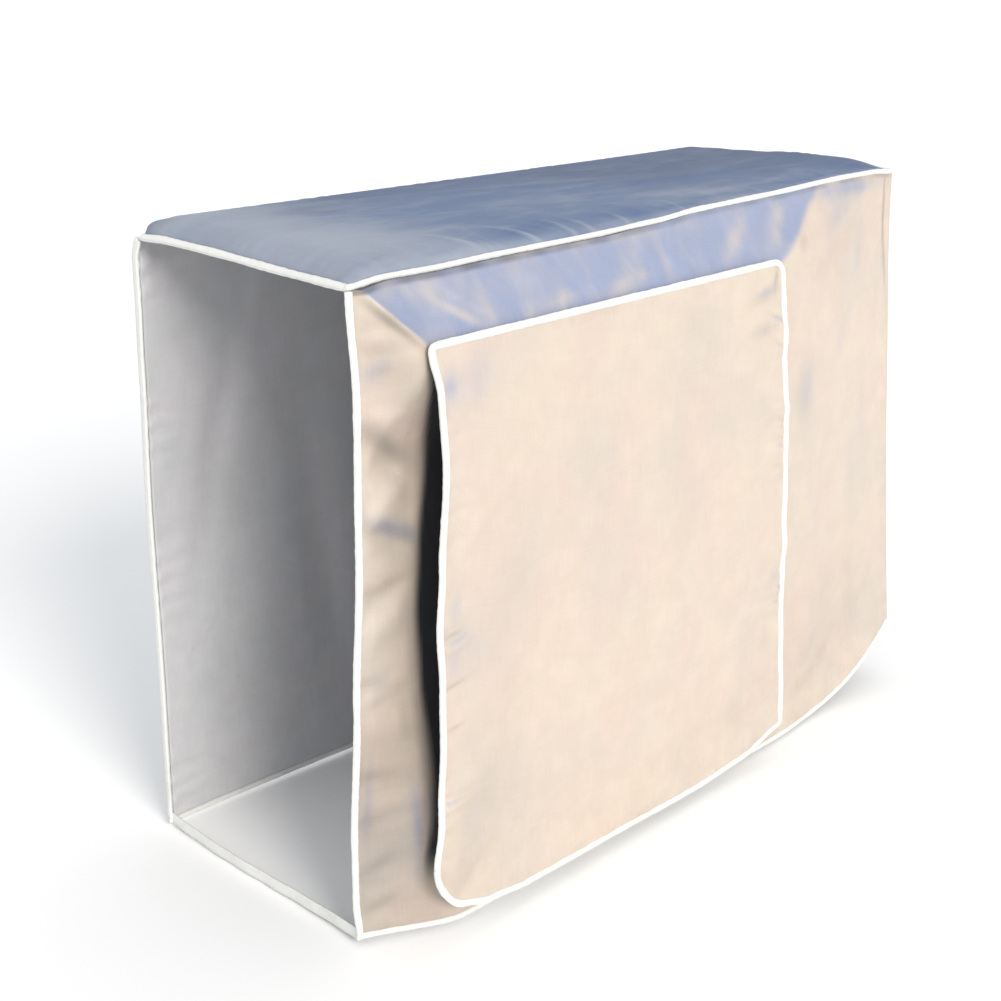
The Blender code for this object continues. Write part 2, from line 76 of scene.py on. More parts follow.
def eased(place: Array, rows: Rows) -> Array:
    """Reads a two-column table at each place, easing in and out of every row.

    Args:
        place: Where the table is read.
        rows: Pairs of place and value, in rising places.

    Returns:
        The value at each place: from row to row by the share s as s * s * (3 - 2 * s).
    """
    keys, values = np.array(rows).T
    place = np.clip(place, keys[0], keys[-1])
    step = np.clip(np.searchsorted(keys, place, side="right") - 1, 0, len(keys) - 2)
    share = (place - keys[step]) / (keys[step + 1] - keys[step])
    share = share * share * (3 - 2 * share)
    return values[step] + (values[step + 1] - values[step]) * share


def ramp(value: Array, start: float | Array, stop: float | Array) -> Array:
    """Rises smoothly from 0 at start to 1 at stop.

    Args:
        value: What is read.
        start: Where the rise begins.
        stop: Where it ends, on either side of start.

    Returns:
        The share s of the way, eased as s * s * (3 - 2 * s).
    """
    share = np.clip((value - start) / (stop - start), 0, 1)
    return share * share * (3 - 2 * share)


def spaced(share: Array, crowd: float) -> Array:
    """Moves even shares towards both ends, by crowd times one turn of a sine."""
    return share - crowd * np.sin(2 * np.pi * share) / (2 * np.pi)


def soft_least(first: Array, second: Array, reach: float | Array) -> Array:
    """Smaller of two values, rounded where they meet.

    Args:
        first: One value.
        second: The other value.
        reach: How far apart the two may be and still be rounded.

    Returns:
        The least of the two, less a quarter of reach times the square of how near they are.
    """
    near = np.clip(1 - np.abs(first - second) / np.maximum(reach, 1e-6), 0, 1)
    return np.minimum(first, second) - reach * near * near / 4


def ridges(across: Array, along: Array, rows: Rows) -> Array:
    """Adds up long soft ridges, each a stretched bell turned by its angle.

    Args:
        across: Places along the cloth's first direction.
        along: Places along its second direction.
        rows: Middle (two), half length, half width, turn in degrees and height of each ridge.

    Returns:
        Sum of height * exp(-(lengthwise / half length)^2 - (crosswise / half width)^2).
    """
    total = np.zeros_like(across)
    for x, z, half_length, half_width, turn, height in rows:
        angle = np.radians(turn)
        lengthwise = (across - x) * np.cos(angle) + (along - z) * np.sin(angle)
        crosswise = (along - z) * np.cos(angle) - (across - x) * np.sin(angle)
        total += height * np.exp(-(lengthwise / half_length) ** 2 - (crosswise / half_width) ** 2)
    return total


def waver(place: Array, length: float, seed: int) -> Array:
    """Slow uneven wave along a line.

    Args:
        place: Places along the line.
        length: Its usual wave length.
        seed: Picks one wave of the kind.

    Returns:
        Mean of five sines whose lengths lie round the usual one, between about -1 and 1.
    """
    draw = np.random.default_rng(seed)
    lengths = length * draw.uniform(0.55, 1.9, 5)
    phases = draw.uniform(0, 2 * np.pi, 5)
    waves = np.sin(2 * np.pi * place[..., None] / lengths + phases)
    return waves.sum(axis=-1) / 2.6


def gathers(away: Array, along: Array, pitch: float, reach: float, height: float, seed: int) -> Array:
    """Short gathers that a row of stitches pulls into a cloth, in loose clusters.

    Args:
        away: Distance from the stitches.
        along: Place along them.
        pitch: Usual distance from one gather to the next.
        reach: How far a usual gather runs into the cloth.
        height: Height of a strong one.
        seed: Picks the gathers.

    Returns:
        Height * cluster * rise from the seam * exp(-away / own reach) * a cosine of a wavering phase.
    """
    phase = 2 * np.pi * along / pitch + 2.4 * waver(along, 5 * pitch, seed)
    phase += away / reach * waver(along, 7 * pitch, seed + 1)
    cluster = np.clip(0.55 + 0.75 * waver(along, 6 * pitch, seed + 2), 0, 1.2)
    own_reach = reach * (1.0 + 0.55 * waver(along, 2.5 * pitch, seed + 3))
    return height * cluster * ramp(away, 0, 0.007) * np.exp(-away / own_reach) * np.cos(phase)


def unit(vectors: Array) -> Array:
    """Scales vectors in the last axis to length 1."""
    return vectors / np.maximum(np.linalg.norm(vectors, axis=-1, keepdims=True), 1e-12)


def link(name: str, mesh: bpy.types.Mesh) -> bpy.types.Object:
    """Puts a mesh into the scene as an object at the origin."""
    made = bpy.data.objects.new(name, mesh)
    bpy.context.scene.collection.objects.link(made)
    return made


def attach(piece: bpy.types.Object, slot: Slot, *nodes: str) -> None:
    """Rides a piece on the cover's one body and lets it stand for its nodes."""
    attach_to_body(piece, "root")
    if nodes:
        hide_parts(*nodes)


@dataclass(frozen=True)
class CoverForm:
    """Hung shape of the cover: the same sizes and formulas that its solids have."""

    width: float = 0.930
    depth: float = 0.336
    drop: float = 0.722
    seam_level: float = -0.006
    edge_tuck: float = 0.0022
    hood_out: float = 0.045
    hood_drop: float = 0.065
    left_hip: float = 0.060
    left_hip_at_hem: float = 0.105
    right_hip: float = 0.290
    hip_grows: tuple[float, float] = (0.350, 0.700)
    hip_round: float = 0.050
    right_hip_round: float = 0.300
    tuck_share: float = 0.86
    tuck_side: tuple[float, float] = (-0.280, 0.100)
    tuck_in: tuple[float, float] = (0.072, 0.190)
    tuck_out: tuple[float, float] = (0.440, 0.660)
    flare_out: float = 0.036
    flare_side: float = 0.042
    flare_start: float = 0.050
    corner_fill: float = 0.006
    corner_fill_span: tuple[float, float] = (0.05, 0.35)
    round_reach: float = 0.250
    round_rise: float = 0.080
    round_power: float = 2.6
    hem_lift: float = 0.004
    hem_lift_start: float = -0.250
    end_round_reach: float = 0.130
    back_corner_out: float = 0.004
    end_belly: float = 0.006
    back_belly: float = 0.008
    flap_stand: float = 0.0059
    flap_kick: float = 0.008
    flap_foot_round: float = 0.050
    flap_top_round: float = 0.018
    flap_hang: float = 0.120
    curl: float = 0.007
    curl_middle: tuple[float, float] = (-0.400, -0.320)
    curl_half: tuple[float, float] = (0.050, 0.140)
    crest_open: float = 0.014
    crest_closed: float = 0.000
    rise_front: float = 0.060
    rise_back: float = 0.028
    rise_open: float = 0.040
    rise_closed: float = 0.030
    sway_reach: float = 0.090
    back_sway_start: float = 0.55
    front_seam: Rows = ((-0.465, -0.008), (-0.420, -0.0045), (-0.350, -0.0055), (-0.280, -0.0045),
                        (-0.120, -0.0048), (-0.020, -0.003), (0.060, 0.001), (0.180, 0.002),
                        (0.350, 0.005), (0.420, 0.0045), (0.465, 0.001))
    back_seam: Rows = ((-0.465, -0.008), (-0.400, -0.010), (0.465, -0.012))
    left_seam: Rows = ((-0.168, -0.008), (-0.100, -0.0075), (0.060, -0.005), (0.120, -0.005),
                       (0.168, -0.008))
    right_seam: Rows = ((-0.168, 0.001), (-0.110, 0.006), (-0.040, 0.004), (0.040, -0.003),
                        (0.168, -0.012))
    end_bow: Rows = ((-0.168, 0.008), (-0.100, 0.0145), (-0.030, 0.0135), (0.040, 0.008), (0.084, 0.005),
                     (0.168, 0.001))
    left_front_sway: Rows = ((0.00, -0.002), (0.15, -0.010), (0.38, -0.008), (0.62, 0.001), (0.85, 0.010),
                             (0.95, 0.010), (1.00, 0.005))
    left_back_sway: Rows = ((0.00, 0.004), (0.20, 0.010), (0.45, 0.015), (0.70, 0.013), (1.00, 0.015))
    flap_left: Rows = ((-0.720, -0.411), (-0.650, -0.410), (-0.590, -0.4040), (-0.500, -0.3985),
                       (-0.430, -0.4005), (-0.361, -0.4055), (-0.300, -0.4015), (-0.190, -0.391),
                       (-0.125, -0.394), (-0.071, -0.406))
    flap_right: Rows = ((-0.720, 0.212), (-0.650, 0.2085), (-0.581, 0.202), (-0.512, 0.197),
                        (-0.374, 0.193), (-0.305, 0.188), (-0.236, 0.180), (-0.167, 0.171),
                        (-0.071, 0.160))
    flap_foot: Rows = ((-0.410, -0.689), (-0.371, -0.698), (-0.331, -0.709), (-0.270, -0.715),
                       (0.040, -0.718), (0.125, -0.713), (0.213, -0.694))
    smooth_left: tuple[float, float] = (-0.420, -0.390)
    smooth_right: tuple[float, float] = (0.130, 0.200)
    smooth_below: tuple[float, float] = (0.045, 0.060)
    left_edge_reach: float = 0.020
    right_edge_reach: float = 0.040

    @property
    def left(self) -> float:
        """Place along the front of the open end."""
        return -self.width / 2

    @property
    def front(self) -> float:
        """Place front to back of the front seam."""
        return -self.depth / 2

    @property
    def foot(self) -> float:
        """Height of the hem."""
        return self.seam_level - self.drop

    @property
    def flap_top(self) -> float:
        """Height of the flap's sewn top."""
        return self.seam_level - self.hood_drop

    def fallen(self, z: Array) -> Array:
        """Share of the drop at a height."""
        return np.clip((self.seam_level - z) / self.drop, 0, 1)

    def corner_swing(self, z: Array) -> Array:
        """How far the right front corner has swung forward: the share of the drop to the 1.5."""
        return self.flare_out * self.fallen(z) ** 1.5

    def right_corner_x(self, z: Array) -> Array:
        """Place along the front of the right front corner: out by the share of the drop to the 1.3."""
        fill = self.corner_fill * ramp(self.fallen(z), *self.corner_fill_span)
        return self.width / 2 + self.flare_side * self.fallen(z) ** 1.3 + fill

    @property
    def hem_corner_x(self) -> float:
        """Place along the front where its hem meets the right end."""
        return float(self.right_corner_x(np.array(self.foot + self.round_rise)))

    def front_hem_z(self, x: Array) -> Array:
        """Height of the front hem, cut round towards the right corner by a power of the reach."""
        rounding = np.clip(1 - (self.hem_corner_x - x) / self.round_reach, 0, 1)
        lift = self.hem_lift * ramp(-x, -self.hem_lift_start, self.width / 2)
        return self.foot + lift + self.round_rise * rounding ** self.round_power

    def end_hem_z(self, share: Array) -> Array:
        """Height of the hem of the right end at a share of its depth, falling from the corner."""
        corner = self.front_hem_z(np.array(self.hem_corner_x))
        return corner + (self.foot - corner) * ramp(share * self.depth, 0, self.end_round_reach)

    def hood_share(self, x: Array, z: Array) -> Array:
        """Share of the hood's full stand: the softened least of the slopes from the top and both hips."""
        below = self.seam_level - z
        hip = self.left_hip + (self.left_hip_at_hem - self.left_hip) * ramp(below, *self.hip_grows)
        from_top = np.clip(below / self.hood_drop, 0, 1)
        from_left = np.clip((x - self.left) / hip, 0, 1)
        from_right = ramp(self.width / 2 - x, 0.0, self.right_hip)
        left = soft_least(from_top, from_left, self.hip_round)
        return soft_least(left, from_right, self.right_hip_round * np.minimum(1, 2 * from_right))

    def front_smooth(self, x: Array, z: Array) -> Array:
        """Share of smoothing under the sewn flap."""
        below = self.seam_level - z
        across = ramp(x, *self.smooth_left) * (1 - ramp(x, *self.smooth_right))
        return across * ramp(below, *self.smooth_below)

    def front_out(self, x: Array, z: Array, folds: Array) -> Array:
        """How far the front cloth stands out: hood less its tuck, plus flare, plus folds.

        Args:
            x: Places along the front.
            z: Heights.
            folds: Height of the folds there.

        Returns:
            Distance out from the plane of the front seam.
        """
        below = self.seam_level - z
        hood = self.hood_share(x, z)
        tuck = self.tuck_share * (1 - ramp(x, *self.tuck_side)) * ramp(below, *self.tuck_in)
        tuck = tuck * (1 - ramp(below, *self.tuck_out))
        flare = self.corner_swing(z) * ramp(x, self.flare_start, self.width / 2)
        edge = ramp(x - self.left, 0, self.left_edge_reach)
        edge = edge * ramp(self.width / 2 - x, 0, self.right_edge_reach)
        creases = folds * edge * (1 - self.front_smooth(x, z))
        return self.hood_out * hood * (1 - tuck) + flare * (1 - hood) + creases

    def end_x(self, share: Array, corner_x: Array) -> Array:
        """Place along the front of the right end, eased from its front corner to its back one."""
        back = self.width / 2 + self.back_corner_out
        return corner_x + (back - corner_x) * ramp(share, 0, 1) + self.end_belly * np.sin(np.pi * share)

    def back_bulge(self, share: Array, drop_share: Array) -> Array:
        """How far the back cloth stands out: a low belly and the sway of its edge at the open end."""
        belly = self.back_belly * np.sin(np.pi * share) * np.sin(np.pi * 0.9 * drop_share)
        return belly + eased(drop_share, self.left_back_sway) * ramp(share, self.back_sway_start, 1.0)

    def flap_out(self, x: Array, z: Array, folds: Array) -> Array:
        """How far the flap stands out: clear of the hood, kicked out at its foot, with its folds.

        Args:
            x: Places along the front.
            z: Heights.
            folds: Height of the folds there.

        Returns:
            Distance out from the plane of the front seam.
        """
        below = np.clip((self.flap_top - z) / (self.drop - self.hood_drop), 0, 1)
        from_curl = ((x - self.curl_middle[0]) / self.curl_half[0]) ** 2
        from_curl = from_curl + ((z - self.curl_middle[1]) / self.curl_half[1]) ** 2
        hang = ramp(below, 0.0, self.flap_hang)
        stand = self.hood_out + self.flap_stand + self.flap_kick * below ** 1.4
        return stand + hang * (self.curl * np.exp(-from_curl) + folds)

    def flap_outline(self, u: Array, v: Array, inset: float) -> tuple[Array, Array]:
        """Place and height of a point of the flap, drawn in by inset all round.

        Args:
            u: Share from its left edge to its right edge.
            v: Share from its foot to its top.
            inset: How far it is drawn in.

        Returns:
            Place along the front and height. The foot is round at the left and the top at the
            right, each by a quarter circle.
        """
        foot_left, foot_right = self.flap_left[0][1] + inset, self.flap_right[0][1] - inset
        along = foot_left + (foot_right - foot_left) * u
        rounding = self.flap_foot_round - inset
        from_left = np.clip(along - foot_left, 0, rounding)
        foot = eased(along, self.flap_foot) + inset + rounding
        foot = foot - np.sqrt(rounding ** 2 - (rounding - from_left) ** 2)
        top_round = self.flap_top_round - inset
        from_right = np.clip(foot_right - along, 0, top_round)
        top = self.flap_top - inset - top_round
        top = top + np.sqrt(top_round ** 2 - (top_round - from_right) ** 2)
        z = foot + (top - foot) * v
        left, right = eased(z, self.flap_left) + inset, eased(z, self.flap_right) - inset
        return left + (right - left) * u, z


FORM = CoverForm()


@dataclass
class Sheet:
    """One cloth on a grid of rows and columns, closed to its thickness."""

    name: str
    points: Array
    cells: Array
    thickness: float = 0.0012

    def normals(self) -> Array:
        """Outward directions: the cross product of the slopes along the columns and the rows."""
        along, across = np.gradient(self.points, axis=(0, 1))
        return unit(np.cross(across, along))

    def flat_places(self) -> Array:
        """Places on the flat cut, in metres: lengths run up along the rows and the columns."""
        steps = np.linalg.norm(np.diff(self.points, axis=1), axis=-1)
        rises = np.linalg.norm(np.diff(self.points, axis=0), axis=-1)
        u = np.pad(np.cumsum(steps, axis=1), ((0, 0), (1, 0)))
        v = np.pad(np.cumsum(rises, axis=0), ((1, 0), (0, 0)))
        return np.stack([u - u.mean(axis=1, keepdims=True), v], axis=-1)

    def build(self, masks: dict[str, Array]) -> bpy.types.Object:
        """Makes the closed mesh: an outer and an inner layer half a thickness off, and a rim.

        Args:
            masks: Name and values, one for each grid point, of the attributes for its material. They
            mark the outer layer alone: on the inner one they are zero.

        Returns:
            The object. Its outer layer and rim have material 0 and its inner layer material 1.
        """
        rows, columns = self.points.shape[:2]
        place = np.arange(rows * columns).reshape(rows, columns)
        quads = np.stack([place[:-1, :-1], place[:-1, 1:], place[1:, 1:], place[1:, :-1]], axis=-1)
        outer = quads[self.cells]
        starts, ends = outer.ravel(), np.roll(outer, -1, axis=1).ravel()
        total = rows * columns
        rim = ~np.isin(starts * total + ends, ends * total + starts)
        starts, ends = starts[rim], ends[rim]
        wall = np.stack([ends, starts, starts + total, ends + total], axis=-1)
        faces = np.concatenate([outer, outer[:, ::-1] + total, wall])
        offset = self.normals() * self.thickness / 2
        layers = np.concatenate([(self.points + offset).reshape(-1, 3),
                                 (self.points - offset).reshape(-1, 3)])
        used, faces = np.unique(faces, return_inverse=True)
        faces = faces.reshape(-1, 4)
        mesh = bpy.data.meshes.new(self.name)
        mesh.from_pydata(layers[used].tolist(), [], faces.tolist())
        inner = np.zeros(len(faces), np.int32)
        inner[len(outer):2 * len(outer)] = 1
        mesh.polygons.foreach_set("material_index", inner)
        mesh.shade_smooth()
        flat = self.flat_places().reshape(-1, 2)[used % total]
        layer = mesh.uv_layers.new(name="cloth")
        layer.data.foreach_set("uv", flat[faces.ravel()].astype(np.float32).ravel())
        outside = used < total
        for label, values in masks.items():
            made = mesh.attributes.new(label, "FLOAT", "POINT")
            made.data.foreach_set("value", (values.reshape(-1)[used % total] * outside).astype(np.float32))
        mesh.update()
        return link(self.name, mesh)


def graded(steps: Rows) -> Array:
    """Shares along a line in even steps within each stretch.

    Args:
        steps: Pairs of how many steps are taken and the share reached by then, from (0, 0) on.

    Returns:
        One share for each step and the start.
    """
    counts, shares = np.array(steps).T
    return np.interp(np.arange(int(counts[-1]) + 1), counts, shares)


def even_grid(columns: int, rows: int, crowd: tuple[float, float]) -> tuple[Array, Array]:
    """Shares across and up a grid.

    Args:
        columns: Cells across.
        rows: Cells up.
        crowd: How much closer together the lines lie at the edges, across and up.

    Returns:
        Two arrays of rows + 1 by columns + 1.
    """
    u = spaced(np.linspace(0, 1, columns + 1), crowd[0])
    v = spaced(np.linspace(0, 1, rows + 1), crowd[1])
    return np.meshgrid(u, v)


def whole(points: Array) -> Array:
    """Marks every cell of a grid as cloth."""
    return np.ones((points.shape[0] - 1, points.shape[1] - 1), bool)


@dataclass
class Tape:
    """A folded woven tape carried along a seam, with one row of stitches."""

    name: str
    path: Array
    facing: Array
    closed: bool
    half_width: float = 0.0035
    half_thickness: float = 0.0025
    widen: Array | None = None
    step: float = 0.0030
    corner_reach: float = 0.0040
    squareness: float = 2.7
    sides: int = 16
    stitch_length: float = 0.0024
    stitch_pitch: float = 0.0034
    stitch_radius: float = 0.00028
    stitch_place: float = 0.58
    seed: int = 3
    rings: dict[str, Array] = field(default_factory=dict)

    def resampled(self, values: Array, place: Array, at: Array) -> Array:
        """Reads rows of values, given at places along the path, at other places along it."""
        return np.stack([np.interp(at, place, column) for column in values.T], axis=-1)

    def softened(self, values: Array) -> Array:
        """Rounds corners: each row becomes a bell-weighted mean of the rows round it."""
        reach = int(np.ceil(3 * self.corner_reach / self.step))
        offsets = np.arange(-reach, reach + 1)
        bell = np.exp(-0.5 * (offsets * self.step / self.corner_reach) ** 2)
        bell = bell / bell.sum()
        if self.closed:
            padded = np.pad(values, ((reach, reach), (0, 0)), mode="wrap")
        else:
            padded = np.pad(values, ((reach, reach), (0, 0)), mode="reflect", reflect_type="odd")
        return np.stack([np.convolve(column, bell, mode="valid") for column in padded.T], axis=-1)

    def carry(self) -> None:
        """Works out the even points of the path, its length and the three directions at each."""
        path, facing = self.path, self.facing
        width = np.ones(len(path)) if self.widen is None else self.widen
        if self.closed:
            path, facing = np.concatenate([path, path[:1]]), np.concatenate([facing, facing[:1]])
            width = np.concatenate([width, width[:1]])
        place = np.concatenate([[0], np.cumsum(np.linalg.norm(np.diff(path, axis=0), axis=1))])
        count = int(round(place[-1] / self.step))
        at = np.linspace(0, place[-1], count + 1)
        at = at[:-1] if self.closed else at
        points = self.softened(self.resampled(path, place, at))
        facing = unit(self.softened(self.resampled(facing, place, at)))
        if self.closed:
            tangent = unit(np.roll(points, -1, axis=0) - np.roll(points, 1, axis=0))
        else:
            tangent = unit(np.gradient(points, axis=0))
        side = unit(np.cross(tangent, facing))
        self.rings = {"at": at, "point": points, "tangent": tangent, "side": side,
                      "out": np.cross(side, tangent), "width": np.interp(at, place, width),
                      "length": place[-1:]}

    def build_band(self) -> bpy.types.Object:
        """Makes the tape: a squarish oval carried along the path.

        Returns:
            The object. Round the oval at angle t, the place across is half width * cos(t) and the
            place out is half thickness * sin(t), each to the power 2 / squareness. A groove lies at
            the stitches, and both sizes waver a little, as the stitches pull at the tape.
        """
        self.carry()
        rings = self.rings
        turn = np.linspace(0, 2 * np.pi, self.sides, endpoint=False)
        power = 2 / self.squareness
        across = np.sign(np.cos(turn)) * np.abs(np.cos(turn)) ** power
        out = np.sign(np.sin(turn)) * np.abs(np.sin(turn)) ** power
        groove = 0.16 * np.exp(-(((np.abs(across) - self.stitch_place) / 0.16) ** 2)) * (out > 0.5)
        at = rings["at"]
        pull = 1 + 0.045 * waver(at, 0.011, self.seed) + 0.05 * waver(at, 0.060, self.seed + 1)
        width = (self.half_width * pull * rings["width"])[:, None, None]
        thick = (self.half_thickness * (1 + 0.09 * waver(rings["at"], 0.014, self.seed + 2)))[:, None, None]
        points = rings["point"][:, None] + width * across[None, :, None] * rings["side"][:, None]
        points = points + thick * (out - groove)[None, :, None] * rings["out"][:, None]
        count, sides = len(rings["at"]), self.sides
        place = np.arange(count * sides).reshape(count, sides)
        after = np.roll(place, -1, axis=0) if self.closed else place[1:]
        before = place if self.closed else place[:-1]
        quads = np.stack([before, after, np.roll(after, -1, axis=1), np.roll(before, -1, axis=1)], axis=-1)
        faces = quads.reshape(-1, 4).tolist()
        if not self.closed:
            faces += [place[0].tolist(), place[-1, ::-1].tolist()]
        mesh = bpy.data.meshes.new(self.name)
        mesh.from_pydata(points.reshape(-1, 3).tolist(), [], faces)
        mesh.shade_smooth()
        along = np.repeat(rings["at"][:, None], sides, axis=1)
        loops = np.empty(len(mesh.loops), np.int32)
        mesh.loops.foreach_get("vertex_index", loops)
        flat = np.stack([along, np.broadcast_to(across * self.half_width, along.shape)], axis=-1)
        layer = mesh.uv_layers.new(name="cloth")
        layer.data.foreach_set("uv", flat.reshape(-1, 2)[loops].astype(np.float32).ravel())
        mesh.update()
        return link(self.name, mesh)

    def build_stitches(self) -> bpy.types.Object:
        """Makes the row of stitches: one small rounded bar, repeated along the inner edge.

        Returns:
            The object. Each bar is four rings of five points, closed at both ends.
        """
        rings = self.rings
        total = float(rings["length"][0])
        count = int(total / self.stitch_pitch)
        at = (np.arange(count) + 0.5) * self.stitch_pitch
        frames = {key: self.resampled(rings[key], rings["at"], at)
                  for key in ("point", "tangent", "side", "out")}
        width = np.interp(at, rings["at"], rings["width"])
        pull = 1 + 0.09 * waver(at, 0.014, self.seed + 2)
        lift = (1 - self.stitch_place ** self.squareness) ** (1 / self.squareness) - 0.16
        middle = frames["point"] + frames["side"] * (self.half_width * self.stitch_place * width)[:, None]
        raised = self.half_thickness * pull * lift + self.stitch_radius * 0.7
        middle = middle + frames["out"] * raised[:, None]
        sides, ends = 5, np.array([-1.0, -0.72, 0.72, 1.0])
        swell = np.array([0.35, 1.0, 1.0, 0.35])
        turn = np.linspace(0, 2 * np.pi, sides, endpoint=False)
        bar = np.stack([np.broadcast_to(ends[:, None] * self.stitch_length / 2, (4, sides)),
                        swell[:, None] * np.cos(turn) * self.stitch_radius,
                        swell[:, None] * np.sin(turn) * self.stitch_radius], axis=-1).reshape(-1, 3)
        axes = np.stack([frames["tangent"], frames["side"], frames["out"]], axis=1)
        points = middle[:, None] + np.einsum("pk,nkj->npj", bar, axes)
        place = np.arange(4 * sides).reshape(4, sides)
        wall = np.stack([place[:-1], np.roll(place[:-1], -1, axis=1), np.roll(place[1:], -1, axis=1),
                         place[1:]], axis=-1).reshape(-1, 4)
        shift = np.arange(count)[:, None, None] * 4 * sides
        faces = (wall[None] + shift).reshape(-1, 4)[:, ::-1].tolist()
        faces += (place[0][None] + shift[:, 0]).tolist() + (place[-1][None, ::-1] + shift[:, 0]).tolist()
        mesh = bpy.data.meshes.new(self.name.replace("tape", "stitches"))
        mesh.from_pydata(points.reshape(-1, 3).tolist(), [], faces)
        mesh.shade_smooth()
        return link(mesh.name, mesh)


class Wiring:
    """Adds nodes to one shader tree and joins them."""

    def __init__(self, tree: bpy.types.NodeTree) -> None:
        """Keeps the tree that the nodes go into."""
        self.tree = tree

    def feed(self, socket: bpy.types.NodeSocket, value: Value) -> None:
        """Joins a socket to another one, or sets its value."""
        if isinstance(value, bpy.types.NodeSocket):
            self.tree.links.new(value, socket)
        else:
            socket.default_value = value

    def node(self, kind: str, inputs: dict[str | int, Value] | None = None,
             settings: dict[str, object] | None = None) -> bpy.types.Node:
        """Adds one node.

        Args:
            kind: Its type.
            inputs: Value or socket for each input, by name or number.
            settings: Its own properties.

        Returns:
            The node.
        """
        made = self.tree.nodes.new(kind)
        for key, value in (settings or {}).items():
            setattr(made, key, value)
        for key, value in (inputs or {}).items():
            self.feed(made.inputs[key], value)
        return made

    def maths(self, operation: str, first: Value, second: Value = 0.0,
              third: Value = 0.0) -> bpy.types.NodeSocket:
        """Result of one arithmetic step on up to three numbers."""
        inputs = {0: first, 1: second, 2: third}
        return self.node("ShaderNodeMath", inputs, {"operation": operation}).outputs[0]

    def spread(self, value: Value, low: float, high: float, to_low: float = 0.0,
               to_high: float = 1.0) -> bpy.types.NodeSocket:
        """Maps a value smoothly from one range to another, clamped."""
        inputs = {"Value": value, "From Min": low, "From Max": high, "To Min": to_low, "To Max": to_high}
        return self.node("ShaderNodeMapRange", inputs, {"interpolation_type": "SMOOTHSTEP"}).outputs[0]

    def blend(self, share: Value, first: Value, second: Value, mode: str = "MIX") -> bpy.types.NodeSocket:
        """Mixes two colours by a share."""
        inputs = {0: share, 6: first, 7: second}
        return self.node("ShaderNodeMix", inputs, {"data_type": "RGBA", "blend_type": mode}).outputs[2]

    def noise(self, place: Value, scale: float, detail: float = 3.0, rough: float = 0.55,
              twist: float = 0.0) -> bpy.types.NodeSocket:
        """Value of a noise at a place."""
        inputs = {"Vector": place, "Scale": scale, "Detail": detail, "Roughness": rough, "Distortion": twist}
        return self.node("ShaderNodeTexNoise", inputs).outputs[0]

    def stretched(self, place: Value, scale: tuple[float, float, float],
                  turn: float = 0.0) -> bpy.types.NodeSocket:
        """Scales a place by axis, after turning it about Z by an angle in degrees."""
        inputs = {"Vector": place, "Scale": scale, "Rotation": (0.0, 0.0, math.radians(turn))}
        return self.node("ShaderNodeMapping", inputs).outputs[0]

    def attribute(self, name: str) -> bpy.types.NodeSocket:
        """Reads a piece's own attribute as a number."""
        return self.node("ShaderNodeAttribute", settings={"attribute_name": name}).outputs["Fac"]

    def bump(self, height: Value, distance: float, strength: float,
             below: Value | None = None) -> bpy.types.NodeSocket:
        """Normal of a raised pattern, on top of another one's."""
        made = self.node("ShaderNodeBump", {"Height": height}, None)
        made.inputs["Distance"].default_value = distance
        made.inputs["Strength"].default_value = strength
        if below is not None:
            self.feed(made.inputs["Normal"], below)
        return made.outputs[0]


class Effect(Enum):
    """Shared effects, each a shader node group that is built once."""

    WEAVE = "weave"
    CRUMPLE = "crumple"
    COATING = "coating"
    SOIL = "soil"
    RIBS = "ribs"

    def group(self) -> bpy.types.NodeTree:
        """Finds the effect's group, or builds it the first time."""
        found = bpy.data.node_groups.get(self.value)
        if found is None:
            found = getattr(EffectMaker, self.value)()
        return found


def new_group(name: str, inputs: dict[str, Value], outputs: dict[str, str]) -> tuple:
    """Makes an empty shader node group with its sockets.

    Args:
        name: Name of the group.
        inputs: Default value of each input: a number, a vector of three or a colour of four.
        outputs: Kind of each output, Float or Color.

    Returns:
        The group, its wiring, the outputs of its input node and the inputs of its output node.
    """
    group = bpy.data.node_groups.new(name, "ShaderNodeTree")
    kinds = {1: "NodeSocketFloat", 3: "NodeSocketVector", 4: "NodeSocketColor"}
    for label, value in inputs.items():
        size = 1 if isinstance(value, float) else len(value)
        socket = group.interface.new_socket(name=label, in_out="INPUT", socket_type=kinds[size])
        socket.default_value = value
    for label, kind in outputs.items():
        group.interface.new_socket(name=label, in_out="OUTPUT", socket_type="NodeSocket" + kind)
    wiring = Wiring(group)
    given = group.nodes.new("NodeGroupInput").outputs
    made = group.nodes.new("NodeGroupOutput").inputs
    return group, wiring, given, made


